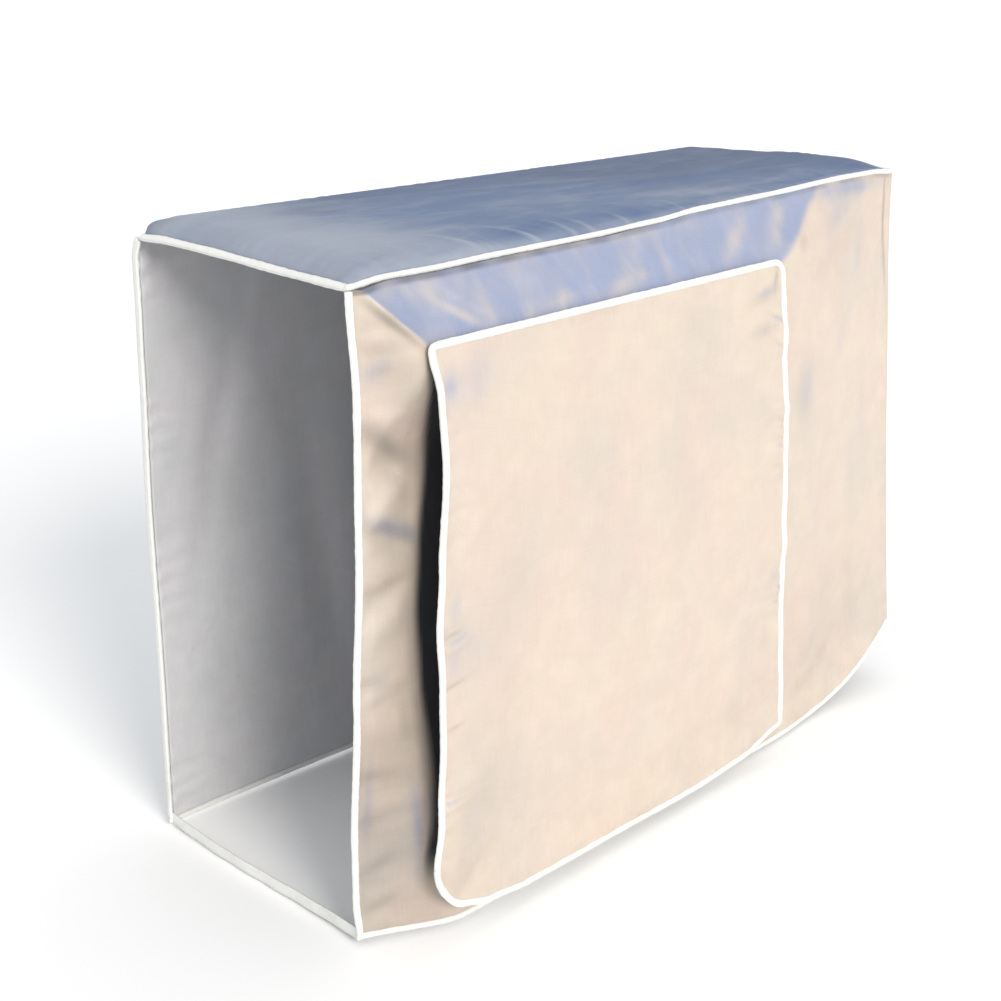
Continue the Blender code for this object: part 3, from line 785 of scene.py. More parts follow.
class EffectMaker:
    """Builds the node groups of the shared effects."""

    @staticmethod
    def weave() -> bpy.types.NodeTree:
        """Plain weave: threads cross as sin(a) * sin(b), and slubs thicken them here and there."""
        group, wire, given, made = new_group(
            "weave", {"Place": (0.0, 0.0, 0.0), "Pitch": 0.0011}, {"Height": "Float", "Slub": "Float"})
        split = wire.node("ShaderNodeSeparateXYZ", {0: given["Place"]}).outputs
        turns = wire.maths("DIVIDE", math.pi, given["Pitch"])
        warp = wire.maths("SINE", wire.maths("MULTIPLY", split[0], turns))
        weft = wire.maths("SINE", wire.maths("MULTIPLY", split[1], turns))
        crossing = wire.maths("MULTIPLY", warp, weft)
        along = wire.noise(wire.stretched(given["Place"], (26.0, 760.0, 1.0)), 1.0, 2.0)
        up = wire.noise(wire.stretched(given["Place"], (760.0, 26.0, 1.0)), 1.0, 2.0)
        slub = wire.maths("ADD", wire.maths("MULTIPLY", along, 0.5), wire.maths("MULTIPLY", up, 0.5))
        wire.feed(made["Height"], wire.maths("MULTIPLY_ADD", crossing, 0.35, slub))
        wire.feed(made["Slub"], wire.spread(slub, 0.36, 0.64))
        return group

    @staticmethod
    def crumple() -> bpy.types.NodeTree:
        """Fine crumples: a broken noise, and thin creases along the edges of warped cells."""
        group, wire, given, made = new_group(
            "crumple", {"Place": (0.0, 0.0, 0.0), "Size": 0.06}, {"Height": "Float", "Crease": "Float"})
        scale = wire.maths("DIVIDE", 1.0, given["Size"])
        place = wire.node("ShaderNodeVectorMath", {0: given["Place"]}, {"operation": "SCALE"})
        wire.feed(place.inputs["Scale"], scale)
        cloud = wire.node("ShaderNodeTexNoise", {"Vector": place.outputs[0], "Scale": 0.6, "Detail": 2.0})
        warped = wire.node("ShaderNodeVectorMath", {0: cloud.outputs["Color"], 1: (1.6, 1.6, 1.6),
                                                    2: place.outputs[0]}, {"operation": "MULTIPLY_ADD"})
        cells = wire.node("ShaderNodeTexVoronoi", {"Vector": warped.outputs[0], "Scale": 0.55},
                          {"feature": "DISTANCE_TO_EDGE"}).outputs["Distance"]
        crease = wire.spread(cells, 0.0, 0.09, 1.0, 0.0)
        patchy = wire.spread(wire.noise(place.outputs[0], 0.22, 2.0), 0.44, 0.66)
        crease = wire.maths("MULTIPLY", crease, patchy)
        soft = wire.noise(place.outputs[0], 1.0, 4.0, 0.5, 0.6)
        wire.feed(made["Height"], wire.maths("MULTIPLY_ADD", crease, 0.30, soft))
        wire.feed(made["Crease"], crease)
        return group

    @staticmethod
    def coating() -> bpy.types.NodeTree:
        """Metal-coated cloth: cloudy tint, a painted cool reflection of the sky by the given share, dull
        where the coat has worn.
        """
        group, wire, given, made = new_group(
            "coating",
            {"Place": (0.0, 0.0, 0.0), "Cloth": (0.8, 0.8, 0.8, 1.0), "Sky Reflection": (0.6, 0.7, 0.9, 1.0),
             "Faded": (0.8, 0.8, 0.8, 1.0), "Blush": (0.8, 0.8, 0.8, 1.0), "Reflection Share": 0.0, "Slub": 0.5,
             "Clouds": 0.5},
            {"Color": "Color", "Worn": "Float"})
        large = wire.noise(given["Place"], 5.5, 3.0, 0.5, 0.3)
        small = wire.noise(given["Place"], 38.0, 4.0, 0.6)
        faded = wire.maths("MULTIPLY", wire.spread(large, 0.38, 0.66), given["Clouds"])
        tint = wire.blend(faded, given["Cloth"], given["Faded"])
        drift = wire.noise(wire.stretched(given["Place"], (1.0, 1.0, 0.7), 20.0), 13.0, 3.0, 0.5)
        tint = wire.blend(wire.spread(drift, 0.42, 0.68, 0.0, 0.8), tint, given["Blush"])
        mottle = wire.noise(wire.stretched(given["Place"], (1.3, 1.0, 0.7)), 19.0, 3.0, 0.5, 0.4)
        mottle = wire.maths("MULTIPLY_ADD", wire.maths("SUBTRACT", mottle, 0.5), 1.2, 1.0)
        # Share of the painted sky reflection, mottled and grained.
        reach = wire.maths("MULTIPLY", given["Reflection Share"], mottle)
        reach = wire.maths("MULTIPLY_ADD", wire.maths("SUBTRACT", small, 0.5), 0.20, reach)
        tint = wire.blend(wire.spread(reach, 0.02, 0.95), tint, given["Sky Reflection"])
        grain = wire.maths("MULTIPLY_ADD", given["Slub"], 0.055, 0.965)
        grain = wire.maths("MULTIPLY", grain, wire.spread(small, 0.30, 0.70, 0.975, 1.02))
        shade = wire.node("ShaderNodeCombineColor", {0: grain, 1: grain, 2: grain}).outputs[0]
        wire.feed(made["Color"], wire.blend(1.0, tint, shade, "MULTIPLY"))
        wire.feed(made["Worn"], wire.spread(small, 0.52, 0.74))
        return group

    @staticmethod
    def soil() -> bpy.types.NodeTree:
        """Dust and handling marks: most at the seams and towards the foot, in broken patches."""
        group, wire, given, made = new_group(
            "soil",
            {"Place": (0.0, 0.0, 0.0), "Color": (0.8, 0.8, 0.8, 1.0), "Dirt": (0.35, 0.31, 0.27, 1.0),
             "Rim": 0.0, "Amount": 0.3},
            {"Color": "Color", "Soil": "Float"})
        height = wire.node("ShaderNodeSeparateXYZ", {0: given["Place"]}).outputs[2]
        low = wire.spread(height, -0.52, -0.74)
        patches = wire.spread(wire.noise(given["Place"], 21.0, 5.0, 0.62), 0.40, 0.75)
        seams = wire.maths("MULTIPLY", given["Rim"], 0.6)
        reach = wire.maths("ADD", wire.maths("MULTIPLY", low, 0.55), seams)
        soil = wire.maths("MULTIPLY", wire.maths("MULTIPLY", reach, patches), given["Amount"])
        wire.feed(made["Color"], wire.blend(soil, given["Color"], given["Dirt"]))
        wire.feed(made["Soil"], soil)
        return group

    @staticmethod
    def ribs() -> bpy.types.NodeTree:
        """Ribbed tape weave: ribs across the tape, a fine thread along it, and its sewn-down line."""
        group, wire, given, made = new_group(
            "ribs", {"Place": (0.0, 0.0, 0.0), "Pitch": 0.0012, "Line": 0.0027},
            {"Height": "Float", "Dent": "Float"})
        split = wire.node("ShaderNodeSeparateXYZ", {0: given["Place"]}).outputs
        turns = wire.maths("DIVIDE", 2 * math.pi, given["Pitch"])
        rib = wire.maths("SINE", wire.maths("MULTIPLY", split[0], turns))
        thread = wire.maths("SINE", wire.maths("MULTIPLY", split[1], wire.maths("MULTIPLY", turns, 1.7)))
        off = wire.maths("ABSOLUTE", wire.maths("SUBTRACT", wire.maths("ABSOLUTE", split[1]), given["Line"]))
        dent = wire.spread(off, 0.0, 0.0007, 1.0, 0.0)
        woven = wire.maths("MULTIPLY_ADD", wire.maths("MULTIPLY", rib, thread), 0.25, rib)
        wire.feed(made["Height"], wire.maths("MULTIPLY_ADD", dent, -1.2, woven))
        wire.feed(made["Dent"], dent)
        return group


def new_material(name: str, colour: Colour) -> tuple[bpy.types.Material, Wiring, bpy.types.Node]:
    """Makes a node material and returns it with its wiring and its Principled shader."""
    made = bpy.data.materials.new(name)
    made.use_nodes = True
    made.diffuse_color = (*colour, 1.0)
    return made, Wiring(made.node_tree), made.node_tree.nodes["Principled BSDF"]


@dataclass(frozen=True)
class CoatedCloth:
    """Plain-woven cloth with a thin metal coating on its outer face."""

    name: str
    cloth: Colour
    # Colour of the painted reflection of the sky, mixed in by the sky attribute.
    sky_reflection: Colour
    faded: Colour
    shadow: Colour = (0.020, 0.022, 0.028)
    dirt: Colour = (0.34, 0.29, 0.24)
    blush: tuple[float, float, float] = (1.01, 0.967, 0.99)
    clouds: float = 0.55
    soil: float = 0.35
    metallic: float = 0.28
    roughness: float = 0.46
    crumple_size: float = 0.060
    crumple_height: float = 0.0016
    crumple_strength: float = 0.55
    thread_pitch: float = 0.0011
    streaks: tuple[float, float, float] = (1.0, 1.0, 1.0)
    sheen: float = 0.12
    specular: float = 0.45

    def material(self) -> bpy.types.Material:
        """Builds the material: weave, crumples, a painted cool sky reflection, faded tints, soil, and painted
        shade.
        """
        made, wire, shader = new_material(self.name, self.cloth)
        place = wire.node("ShaderNodeTexCoord").outputs["Object"]
        brushed = wire.stretched(place, self.streaks)
        flat = wire.node("ShaderNodeUVMap", settings={"uv_map": "cloth"}).outputs[0]
        sky, rim, shade = (wire.attribute(name) for name in ("sky", "rim", "shade"))
        weave = wire.node("ShaderNodeGroup", settings={"node_tree": Effect.WEAVE.group()})
        wire.feed(weave.inputs["Place"], flat)
        weave.inputs["Pitch"].default_value = self.thread_pitch
        crumple = wire.node("ShaderNodeGroup", settings={"node_tree": Effect.CRUMPLE.group()})
        wire.feed(crumple.inputs["Place"], place)
        crumple.inputs["Size"].default_value = self.crumple_size
        coating = wire.node("ShaderNodeGroup", settings={"node_tree": Effect.COATING.group()})
        blush = tuple(part * share for part, share in zip(self.cloth, self.blush))
        for key, value in {"Place": brushed, "Cloth": (*self.cloth, 1.0), "Sky Reflection": (*self.sky_reflection, 1.0),
                           "Faded": (*self.faded, 1.0), "Blush": (*blush, 1.0), "Reflection Share": sky,
                           "Slub": weave.outputs["Slub"], "Clouds": self.clouds}.items():
            wire.feed(coating.inputs[key], value)
        soil = wire.node("ShaderNodeGroup", settings={"node_tree": Effect.SOIL.group()})
        for key, value in {"Place": place, "Color": coating.outputs["Color"], "Dirt": (*self.dirt, 1.0),
                           "Rim": rim, "Amount": self.soil}.items():
            wire.feed(soil.inputs[key], value)
        # Painted shade: the shade attribute mixes the colour towards the shadow colour, and roughens and
        # dulls the coat there.
        colour = wire.blend(shade, soil.outputs["Color"], (*self.shadow, 1.0))
        wire.feed(shader.inputs["Base Color"], colour)
        rough = wire.maths("MULTIPLY_ADD", coating.outputs["Worn"], 0.09, self.roughness)
        rough = wire.maths("MULTIPLY_ADD", soil.outputs["Soil"], 0.35, rough)
        wire.feed(shader.inputs["Roughness"], wire.maths("MULTIPLY_ADD", shade, 0.4, rough))
        kept = wire.maths("SUBTRACT", 1.0, wire.maths("MAXIMUM", shade, soil.outputs["Soil"]))
        worn = wire.maths("MULTIPLY_ADD", coating.outputs["Worn"], -0.25 * self.metallic, self.metallic)
        wire.feed(shader.inputs["Metallic"], wire.maths("MULTIPLY", worn, kept))
        shader.inputs["Sheen Weight"].default_value = self.sheen
        shader.inputs["Sheen Roughness"].default_value = 0.45
        shader.inputs["Specular IOR Level"].default_value = self.specular
        coarse = wire.bump(crumple.outputs["Height"], self.crumple_height, self.crumple_strength)
        fine = wire.bump(weave.outputs["Height"], 0.00022, 0.35, coarse)
        wire.feed(shader.inputs["Normal"], fine)
        return made


@dataclass(frozen=True)
class WovenTape:
    """White ribbed binding tape."""

    name: str
    cloth: Colour = (0.80, 0.80, 0.775)
    grey_and_groove_shade: Colour = (0.58, 0.58, 0.58)
    pitch: float = 0.0012

    def material(self) -> bpy.types.Material:
        """Builds the material: ribs, the sewn line with painted shade in its groove, a faint greying and soil
        near the foot.
        """
        made, wire, shader = new_material(self.name, self.cloth)
        place = wire.node("ShaderNodeTexCoord").outputs["Object"]
        flat = wire.node("ShaderNodeUVMap", settings={"uv_map": "cloth"}).outputs[0]
        ribs = wire.node("ShaderNodeGroup", settings={"node_tree": Effect.RIBS.group()})
        wire.feed(ribs.inputs["Place"], flat)
        ribs.inputs["Pitch"].default_value = self.pitch
        patches = wire.noise(place, 46.0, 4.0, 0.6)
        greying_and_groove_shade = wire.maths("MULTIPLY", wire.spread(patches, 0.48, 0.80), 0.35)
        # Painted shade in the groove of the sewn line, over the faint greying patches.
        greying_and_groove_shade = wire.maths("MAXIMUM", greying_and_groove_shade, wire.maths("MULTIPLY", ribs.outputs["Dent"], 0.45))
        tint = wire.blend(greying_and_groove_shade, (*self.cloth, 1.0), (*self.grey_and_groove_shade, 1.0))
        soil = wire.node("ShaderNodeGroup", settings={"node_tree": Effect.SOIL.group()})
        for key, value in {"Place": place, "Color": tint, "Rim": 0.15, "Amount": 0.35}.items():
            wire.feed(soil.inputs[key], value)
        wire.feed(shader.inputs["Base Color"], soil.outputs["Color"])
        wire.feed(shader.inputs["Roughness"], wire.spread(patches, 0.3, 0.7, 0.62, 0.78))
        shader.inputs["Sheen Weight"].default_value = 0.20
        shader.inputs["Specular IOR Level"].default_value = 0.35
        wire.feed(shader.inputs["Normal"], wire.bump(ribs.outputs["Height"], 0.00020, 0.6))
        return made


@dataclass(frozen=True)
class Thread:
    """Twisted sewing thread."""

    name: str
    colour: Colour = (0.86, 0.86, 0.84)
    twist_pitch: float = 0.0006

    def material(self) -> bpy.types.Material:
        """Builds the material: a slanted twist, with painted shade in its grooves and its own colour on its
        crests.
        """
        made, wire, shader = new_material(self.name, self.colour)
        place = wire.node("ShaderNodeTexCoord").outputs["Object"]
        split = wire.node("ShaderNodeSeparateXYZ", {0: place}).outputs
        run = wire.maths("ADD", wire.maths("ADD", split[0], split[1]), split[2])
        twist = wire.maths("SINE", wire.maths("MULTIPLY", run, 2 * math.pi / self.twist_pitch))
        twist_shade = tuple(0.8 * part for part in self.colour)
        tint = wire.blend(wire.spread(twist, -1.0, 1.0), (*twist_shade, 1.0), (*self.colour, 1.0))
        wire.feed(shader.inputs["Base Color"], tint)
        wire.feed(shader.inputs["Roughness"], wire.spread(twist, -1.0, 1.0, 0.62, 0.48))
        wire.feed(shader.inputs["Normal"], wire.bump(twist, 0.0001, 0.5))
        return made


@dataclass(frozen=True)
class StudioFloor:
    """Plain pale floor."""

    name: str
    colour: Colour = (0.94, 0.94, 0.94)

    def material(self) -> bpy.types.Material:
        """Builds the material: a matt paint with a faint roller texture."""
        made, wire, shader = new_material(self.name, self.colour)
        place = wire.node("ShaderNodeTexCoord").outputs["Object"]
        cloud = wire.noise(place, 1.2, 2.0)
        dim = tuple(0.985 * part for part in self.colour)
        wire.feed(shader.inputs["Base Color"], wire.blend(cloud, (*dim, 1.0), (*self.colour, 1.0)))
        shader.inputs["Roughness"].default_value = 0.9
        shader.inputs["Specular IOR Level"].default_value = 0.1
        return made


@dataclass(frozen=True)
class Finishes:
    """Every finish of the cover, built once."""

    front: bpy.types.Material
    flap: bpy.types.Material
    top: bpy.types.Material
    end: bpy.types.Material
    lining: bpy.types.Material
    tape: bpy.types.Material
    thread: bpy.types.Material

    @classmethod
    def make(cls) -> "Finishes":
        """Builds the materials of the cover."""
        # The lilac colour is a painted reflection of the sky on the front and the flap.
        cream, sky_lilac, faded = (0.640, 0.548, 0.460), (0.300, 0.340, 0.475), (0.565, 0.508, 0.455)
        return cls(
            front=CoatedCloth("front_silver", cream, sky_lilac, faded).material(),
            flap=CoatedCloth("flap_silver", cream, sky_lilac, faded).material(),
            # The top is the same silver cloth, with its blue-grey colours painted as a reflection of the sky.
            top=CoatedCloth("top_silver_painted_sky", (0.310, 0.348, 0.420), (0.098, 0.150, 0.280), (0.215, 0.250, 0.325),
                            shadow=(0.020, 0.024, 0.030), clouds=0.50, soil=0.10, metallic=0.24,
                            roughness=0.48, streaks=(0.55, 2.0, 1.0), sheen=0.04, specular=0.35).material(),
            end=CoatedCloth("end_silver", (0.470, 0.465, 0.460), (0.350, 0.400, 0.500),
                            (0.400, 0.395, 0.390)).material(),
            lining=CoatedCloth("lining_grey", (0.560, 0.565, 0.580), (0.560, 0.570, 0.600),
                               (0.480, 0.485, 0.500), metallic=0.05, roughness=0.62).material(),
            tape=WovenTape("binding_white").material(),
            thread=Thread("sewing_thread").material(),
        )


@dataclass
class Part:
    """One sub-assembly of the cover: its cloth, its tapes and their stitches."""

    cloth: bpy.types.Object | None = None
    extras: list[bpy.types.Object] = field(default_factory=list)

    def add_tape(self, tape: Tape, node: str, finishes: Finishes) -> bpy.types.Object:
        """Builds and dresses one tape with its stitches.

        Args:
            tape: The tape.
            node: The CAD node that it stands for.
            finishes: The materials.

        Returns:
            The band of the tape.
        """
        band = tape.build_band()
        band.data.materials.append(finishes.tape)
        attach(band, Slot.TAPE, node)
        stitches = tape.build_stitches()
        stitches.data.materials.append(finishes.thread)
        attach(stitches, Slot.TAPE)
        self.extras += [band, stitches]
        return band

    def add_cloth(self, sheet: Sheet, masks: dict[str, Array], outer: bpy.types.Material,
                  finishes: Finishes, slot: Slot, node: str) -> None:
        """Builds and dresses the cloth of this part.

        Args:
            sheet: The cloth's grid.
            masks: Values for its material.
            outer: Finish of its outer face.
            finishes: The materials, for the finish of its inner face.
            slot: The record's slot.
            node: The CAD node that it stands for.
        """
        self.cloth = sheet.build(masks)
        self.cloth.data.materials.append(outer)
        self.cloth.data.materials.append(finishes.lining)
        attach(self.cloth, slot, node)

    def report(self) -> None:
        """Logs each piece with its size and how many triangles it has."""
        for piece in [self.cloth, *self.extras]:
            corners = np.array([corner[:] for corner in piece.bound_box])
            size = (corners.max(axis=0) - corners.min(axis=0)) * 1000
            faces = sum(polygon.loop_total - 2 for polygon in piece.data.polygons)
            log.info("%s: %.0f x %.0f x %.0f mm, %d triangles", piece.name, *size, faces)


def sky_reflection_mask(sheet: Sheet, low: float, high: float) -> Array:
    """Share of a painted reflection of the sky at each point of a cloth, from how far its outward direction
    looks up.
    """
    return ramp(sheet.normals()[..., 2], low, high)


def beyond(across: Array, along: Array, line: tuple[float, float, float]) -> Array:
    """Distance to the right-hand side of a line, given by one place on it and its turn in degrees."""
    angle = math.radians(line[2])
    return (across - line[0]) * math.sin(angle) - (along - line[1]) * math.cos(angle)


def tinted(mask: Array, across: Array, along: Array, rows: Rows) -> Array:
    """Adds listed soft patches to a mask, in the columns of ridges, and keeps it within 0 and 1."""
    return np.clip(mask + ridges(across, along, rows), 0, 1)


def rim_mask(*distances: Array) -> Array:
    """How near each point lies to a seam: 1 there, 0 from 22 mm on."""
    nearest = np.minimum.reduce(distances)
    return 1 - ramp(nearest, 0.0, 0.022)


@dataclass
class TopPart(Part):
    """Top cloth, lying on the unit, and the tape round its four edges."""

    columns: int = 330
    rows: int = 140
    flat: tuple[float, float] = (0.935, 0.342)
    swells: Rows = ((-0.380, -0.120, 0.050, 0.014, 70, 0.0012), (-0.270, -0.125, 0.045, 0.012, 80, 0.0014),
                    (-0.150, -0.120, 0.050, 0.014, 60, 0.0014), (-0.020, -0.130, 0.040, 0.013, 100, 0.0012),
                    (0.110, -0.125, 0.050, 0.014, 65, 0.0012), (0.260, -0.130, 0.045, 0.014, 110, 0.0012),
                    (-0.200, 0.020, 0.160, 0.020, 8, 0.0022), (0.180, -0.020, 0.180, 0.022, -6, 0.0022))
    # Patches of more or less painted sky reflection; the thin strokes near the front seam lessen it as
    # painted highlights on the gathers.
    sky_reflection_patches: Rows = ((0.120, -0.115, 0.100, 0.040, -8, -0.34), (-0.060, -0.040, 0.120, 0.030, 8, -0.16),
                   (0.040, 0.060, 0.070, 0.026, -10, -0.14), (0.340, -0.130, 0.060, 0.020, -6, -0.14),
                   (-0.400, 0.110, 0.040, 0.020, 10, 0.18), (-0.452, 0.156, 0.022, 0.010, -40, 0.40),
                   (-0.430, -0.155, 0.040, 0.008, 10, 0.34), (-0.350, -0.158, 0.040, 0.007, 4, 0.30),
                   (-0.320, 0.060, 0.050, 0.030, -20, 0.24), (-0.418, -0.154, 0.020, 0.0032, 122, -0.34),
                   (-0.366, -0.153, 0.020, 0.0032, 118, -0.36), (-0.292, -0.146, 0.030, 0.0036, 120, -0.40),
                   (-0.212, -0.147, 0.034, 0.0036, 122, -0.44), (-0.150, -0.151, 0.024, 0.0036, 112, -0.36),
                   (-0.120, -0.152, 0.022, 0.0036, 108, -0.34), (-0.060, -0.153, 0.020, 0.0040, 100, -0.28),
                   (0.040, -0.151, 0.022, 0.0040, 92, -0.22))
    # Patches of painted shade on the top.
    painted_shade_patches: Rows = ((-0.310, 0.085, 0.080, 0.026, -14, 0.11), (-0.200, 0.120, 0.090, 0.022, -6, 0.09),
                  (0.320, -0.070, 0.034, 0.022, 10, 0.10), (0.210, 0.010, 0.060, 0.028, 0, 0.06),
                  (-0.456, 0.152, 0.018, 0.008, -60, 0.20), (-0.120, -0.060, 0.100, 0.016, 6, 0.05))
    corner_puff: Rows = ((-0.457, 0.161, 0.016, 0.013, 0, 0.0060),)
    creases: Rows = ((-0.437, -0.156, 0.020, 0.0045, 118, 0.0026),
                     (-0.418, -0.155, 0.022, 0.0045, 122, 0.0028),
                     (-0.396, -0.153, 0.026, 0.0050, 124, 0.0028),
                     (-0.366, -0.154, 0.022, 0.0045, 118, 0.0024),
                     (-0.338, -0.155, 0.022, 0.0050, 114, 0.0022),
                     (-0.292, -0.148, 0.034, 0.0045, 120, 0.0026),
                     (-0.212, -0.148, 0.036, 0.0045, 122, 0.0028),
                     (-0.150, -0.152, 0.026, 0.0050, 112, 0.0020),
                     (-0.120, -0.153, 0.024, 0.0050, 108, 0.0018),
                     (-0.060, -0.154, 0.022, 0.0055, 100, 0.0016), (0.040, -0.152, 0.026, 0.0060, 92, 0.0014),
                     (0.190, -0.152, 0.028, 0.0060, 84, 0.0014), (0.340, -0.150, 0.030, 0.0070, 74, 0.0014),
                     (-0.420, 0.120, 0.045, 0.0080, -40, 0.0020), (-0.060, 0.060, 0.200, 0.0120, -12, 0.0012),
                     (0.300, 0.060, 0.140, 0.0140, 14, 0.0012))

    def surface(self, u: Array, v: Array) -> Array:
        """Top cloth between its four seams, swelling up to its crest, with folds and gathers.

        Args:
            u: Share along the front.
            v: Share towards the back.

        Returns:
            Points. The height is the two ruled sheets between facing seams less the one between
            the corners, blended to the crest by a quarter circle from every edge.
        """
        form = FORM
        x = (form.width / 2 - form.edge_tuck) * (2 * u - 1)
        y = (form.depth / 2 - form.edge_tuck) * (2 * v - 1)
        front, back = eased(x, form.front_seam), eased(x, form.back_seam)
        left, right = eased(y, form.left_seam), eased(y, form.right_seam)
        corners = ((1 - u) * (1 - v) * form.front_seam[0][1] + u * (1 - v) * form.front_seam[-1][1]
                   + (1 - u) * v * form.back_seam[0][1] + u * v * form.back_seam[-1][1])
        seams = (1 - v) * front + v * back + (1 - u) * left + u * right - corners

        def swell(distance: Array, reach: float) -> Array:
            """Rises from 0 at an edge to 1 at its reach like a quarter circle."""
            share = np.clip(distance / reach, 0, 1)
            return np.sqrt(1 - (1 - share) ** 2)

        inner = swell(u * form.width, form.rise_open) * swell((1 - u) * form.width, form.rise_closed)
        inner = inner * swell(v * form.depth, form.rise_front) * swell((1 - v) * form.depth, form.rise_back)
        crest = form.crest_open + (form.crest_closed - form.crest_open) * u
        crest = crest + eased(y, form.end_bow) * u ** 6
        height = seams + (crest - seams) * inner + ridges(x, y, self.swells) * inner
        height = height + ridges(x, y, self.creases) * inner
        slant = 0.9 - 0.5 * u
        height = height + gathers(v * form.depth, x + slant * v * form.depth, 0.018, 0.013, 0.0013, 11)
        height = height + gathers(u * form.width, y, 0.019, 0.016, 0.0013, 21)
        height = height + gathers((1 - v) * form.depth, x, 0.022, 0.022, 0.0007, 31)
        height = height + gathers((1 - u) * form.width, y, 0.020, 0.020, 0.0007, 41)
        open_corner = ramp(u * form.width, 0, 0.005) * ramp((1 - v) * form.depth, 0, 0.005)
        height = height + ridges(x, y, self.corner_puff) * open_corner
        return np.stack([x, y, form.seam_level + height], axis=-1)

    def seam_loop(self) -> tuple[Array, Array, Array]:
        """Points of the seam round the top, the way its tape faces, and the tape's width there."""
        form = FORM
        x = np.linspace(-form.width / 2, form.width / 2, 311)
        y = np.linspace(-form.depth / 2, form.depth / 2, 113)
        same = np.full_like
        sides = [
            (np.stack([x, same(x, y[0]), eased(x, form.front_seam)], axis=-1), (0.0, -1.0), 0.88),
            (np.stack([same(y, x[-1]), y, eased(y, form.right_seam)], axis=-1), (1.0, 0.0), 0.9),
            (np.stack([x, same(x, y[-1]), eased(x, form.back_seam)], axis=-1)[::-1], (0.0, 1.0), 0.9),
            (np.stack([same(y, x[0]), y, eased(y, form.left_seam)], axis=-1)[::-1], (-1.0, 0.0), 1.18),
        ]
        path = np.concatenate([points[:-1] for points, _, _ in sides])
        path[:, 2] += form.seam_level
        facing = np.concatenate([np.tile((*way, 0.75), (len(points) - 1, 1)) for points, way, _ in sides])
        width = np.concatenate([np.full(len(points) - 1, wide) for points, _, wide in sides])
        return path, facing, width

    def build(self, finishes: Finishes) -> None:
        u, v = even_grid(self.columns, self.rows, (0.30, 0.30))
        points = self.surface(u, v)
        sheet = Sheet("top_cloth", points, whole(points))
        near = rim_mask(u * FORM.width, (1 - u) * FORM.width, v * FORM.depth, (1 - v) * FORM.depth)
        x, y = points[..., 0], points[..., 1]
        # Painted sky reflection: more towards the closed end, less near the front seam as painted highlights,
        # and the listed patches.
        sky_reflection = ramp(x + 0.020 * waver(y, 0.12, 5), -0.450, -0.180)
        sky_reflection = tinted(0.84 * sky_reflection - 0.36 * near * ramp(v, 0.35, 0.0), x, y, self.sky_reflection_patches)
        # Painted shade, darker towards the back and the closed end.
        painted_back_shade = 0.30 * ramp(0.5 * x + 1.3 * y + 0.02 * waver(x, 0.25, 7), -0.120, 0.220)
        masks = {"sky": sky_reflection, "rim": 0.3 * near, "shade": tinted(painted_back_shade, x, y, self.painted_shade_patches)}
        self.add_cloth(sheet, masks, finishes.top, finishes, Slot.TOP, "top_panel")
        path, facing, width = self.seam_loop()
        tape = Tape("top_tape", path, facing, closed=True, half_thickness=0.0026, widen=width, seed=61)
        self.add_tape(tape, "top_binding", finishes)


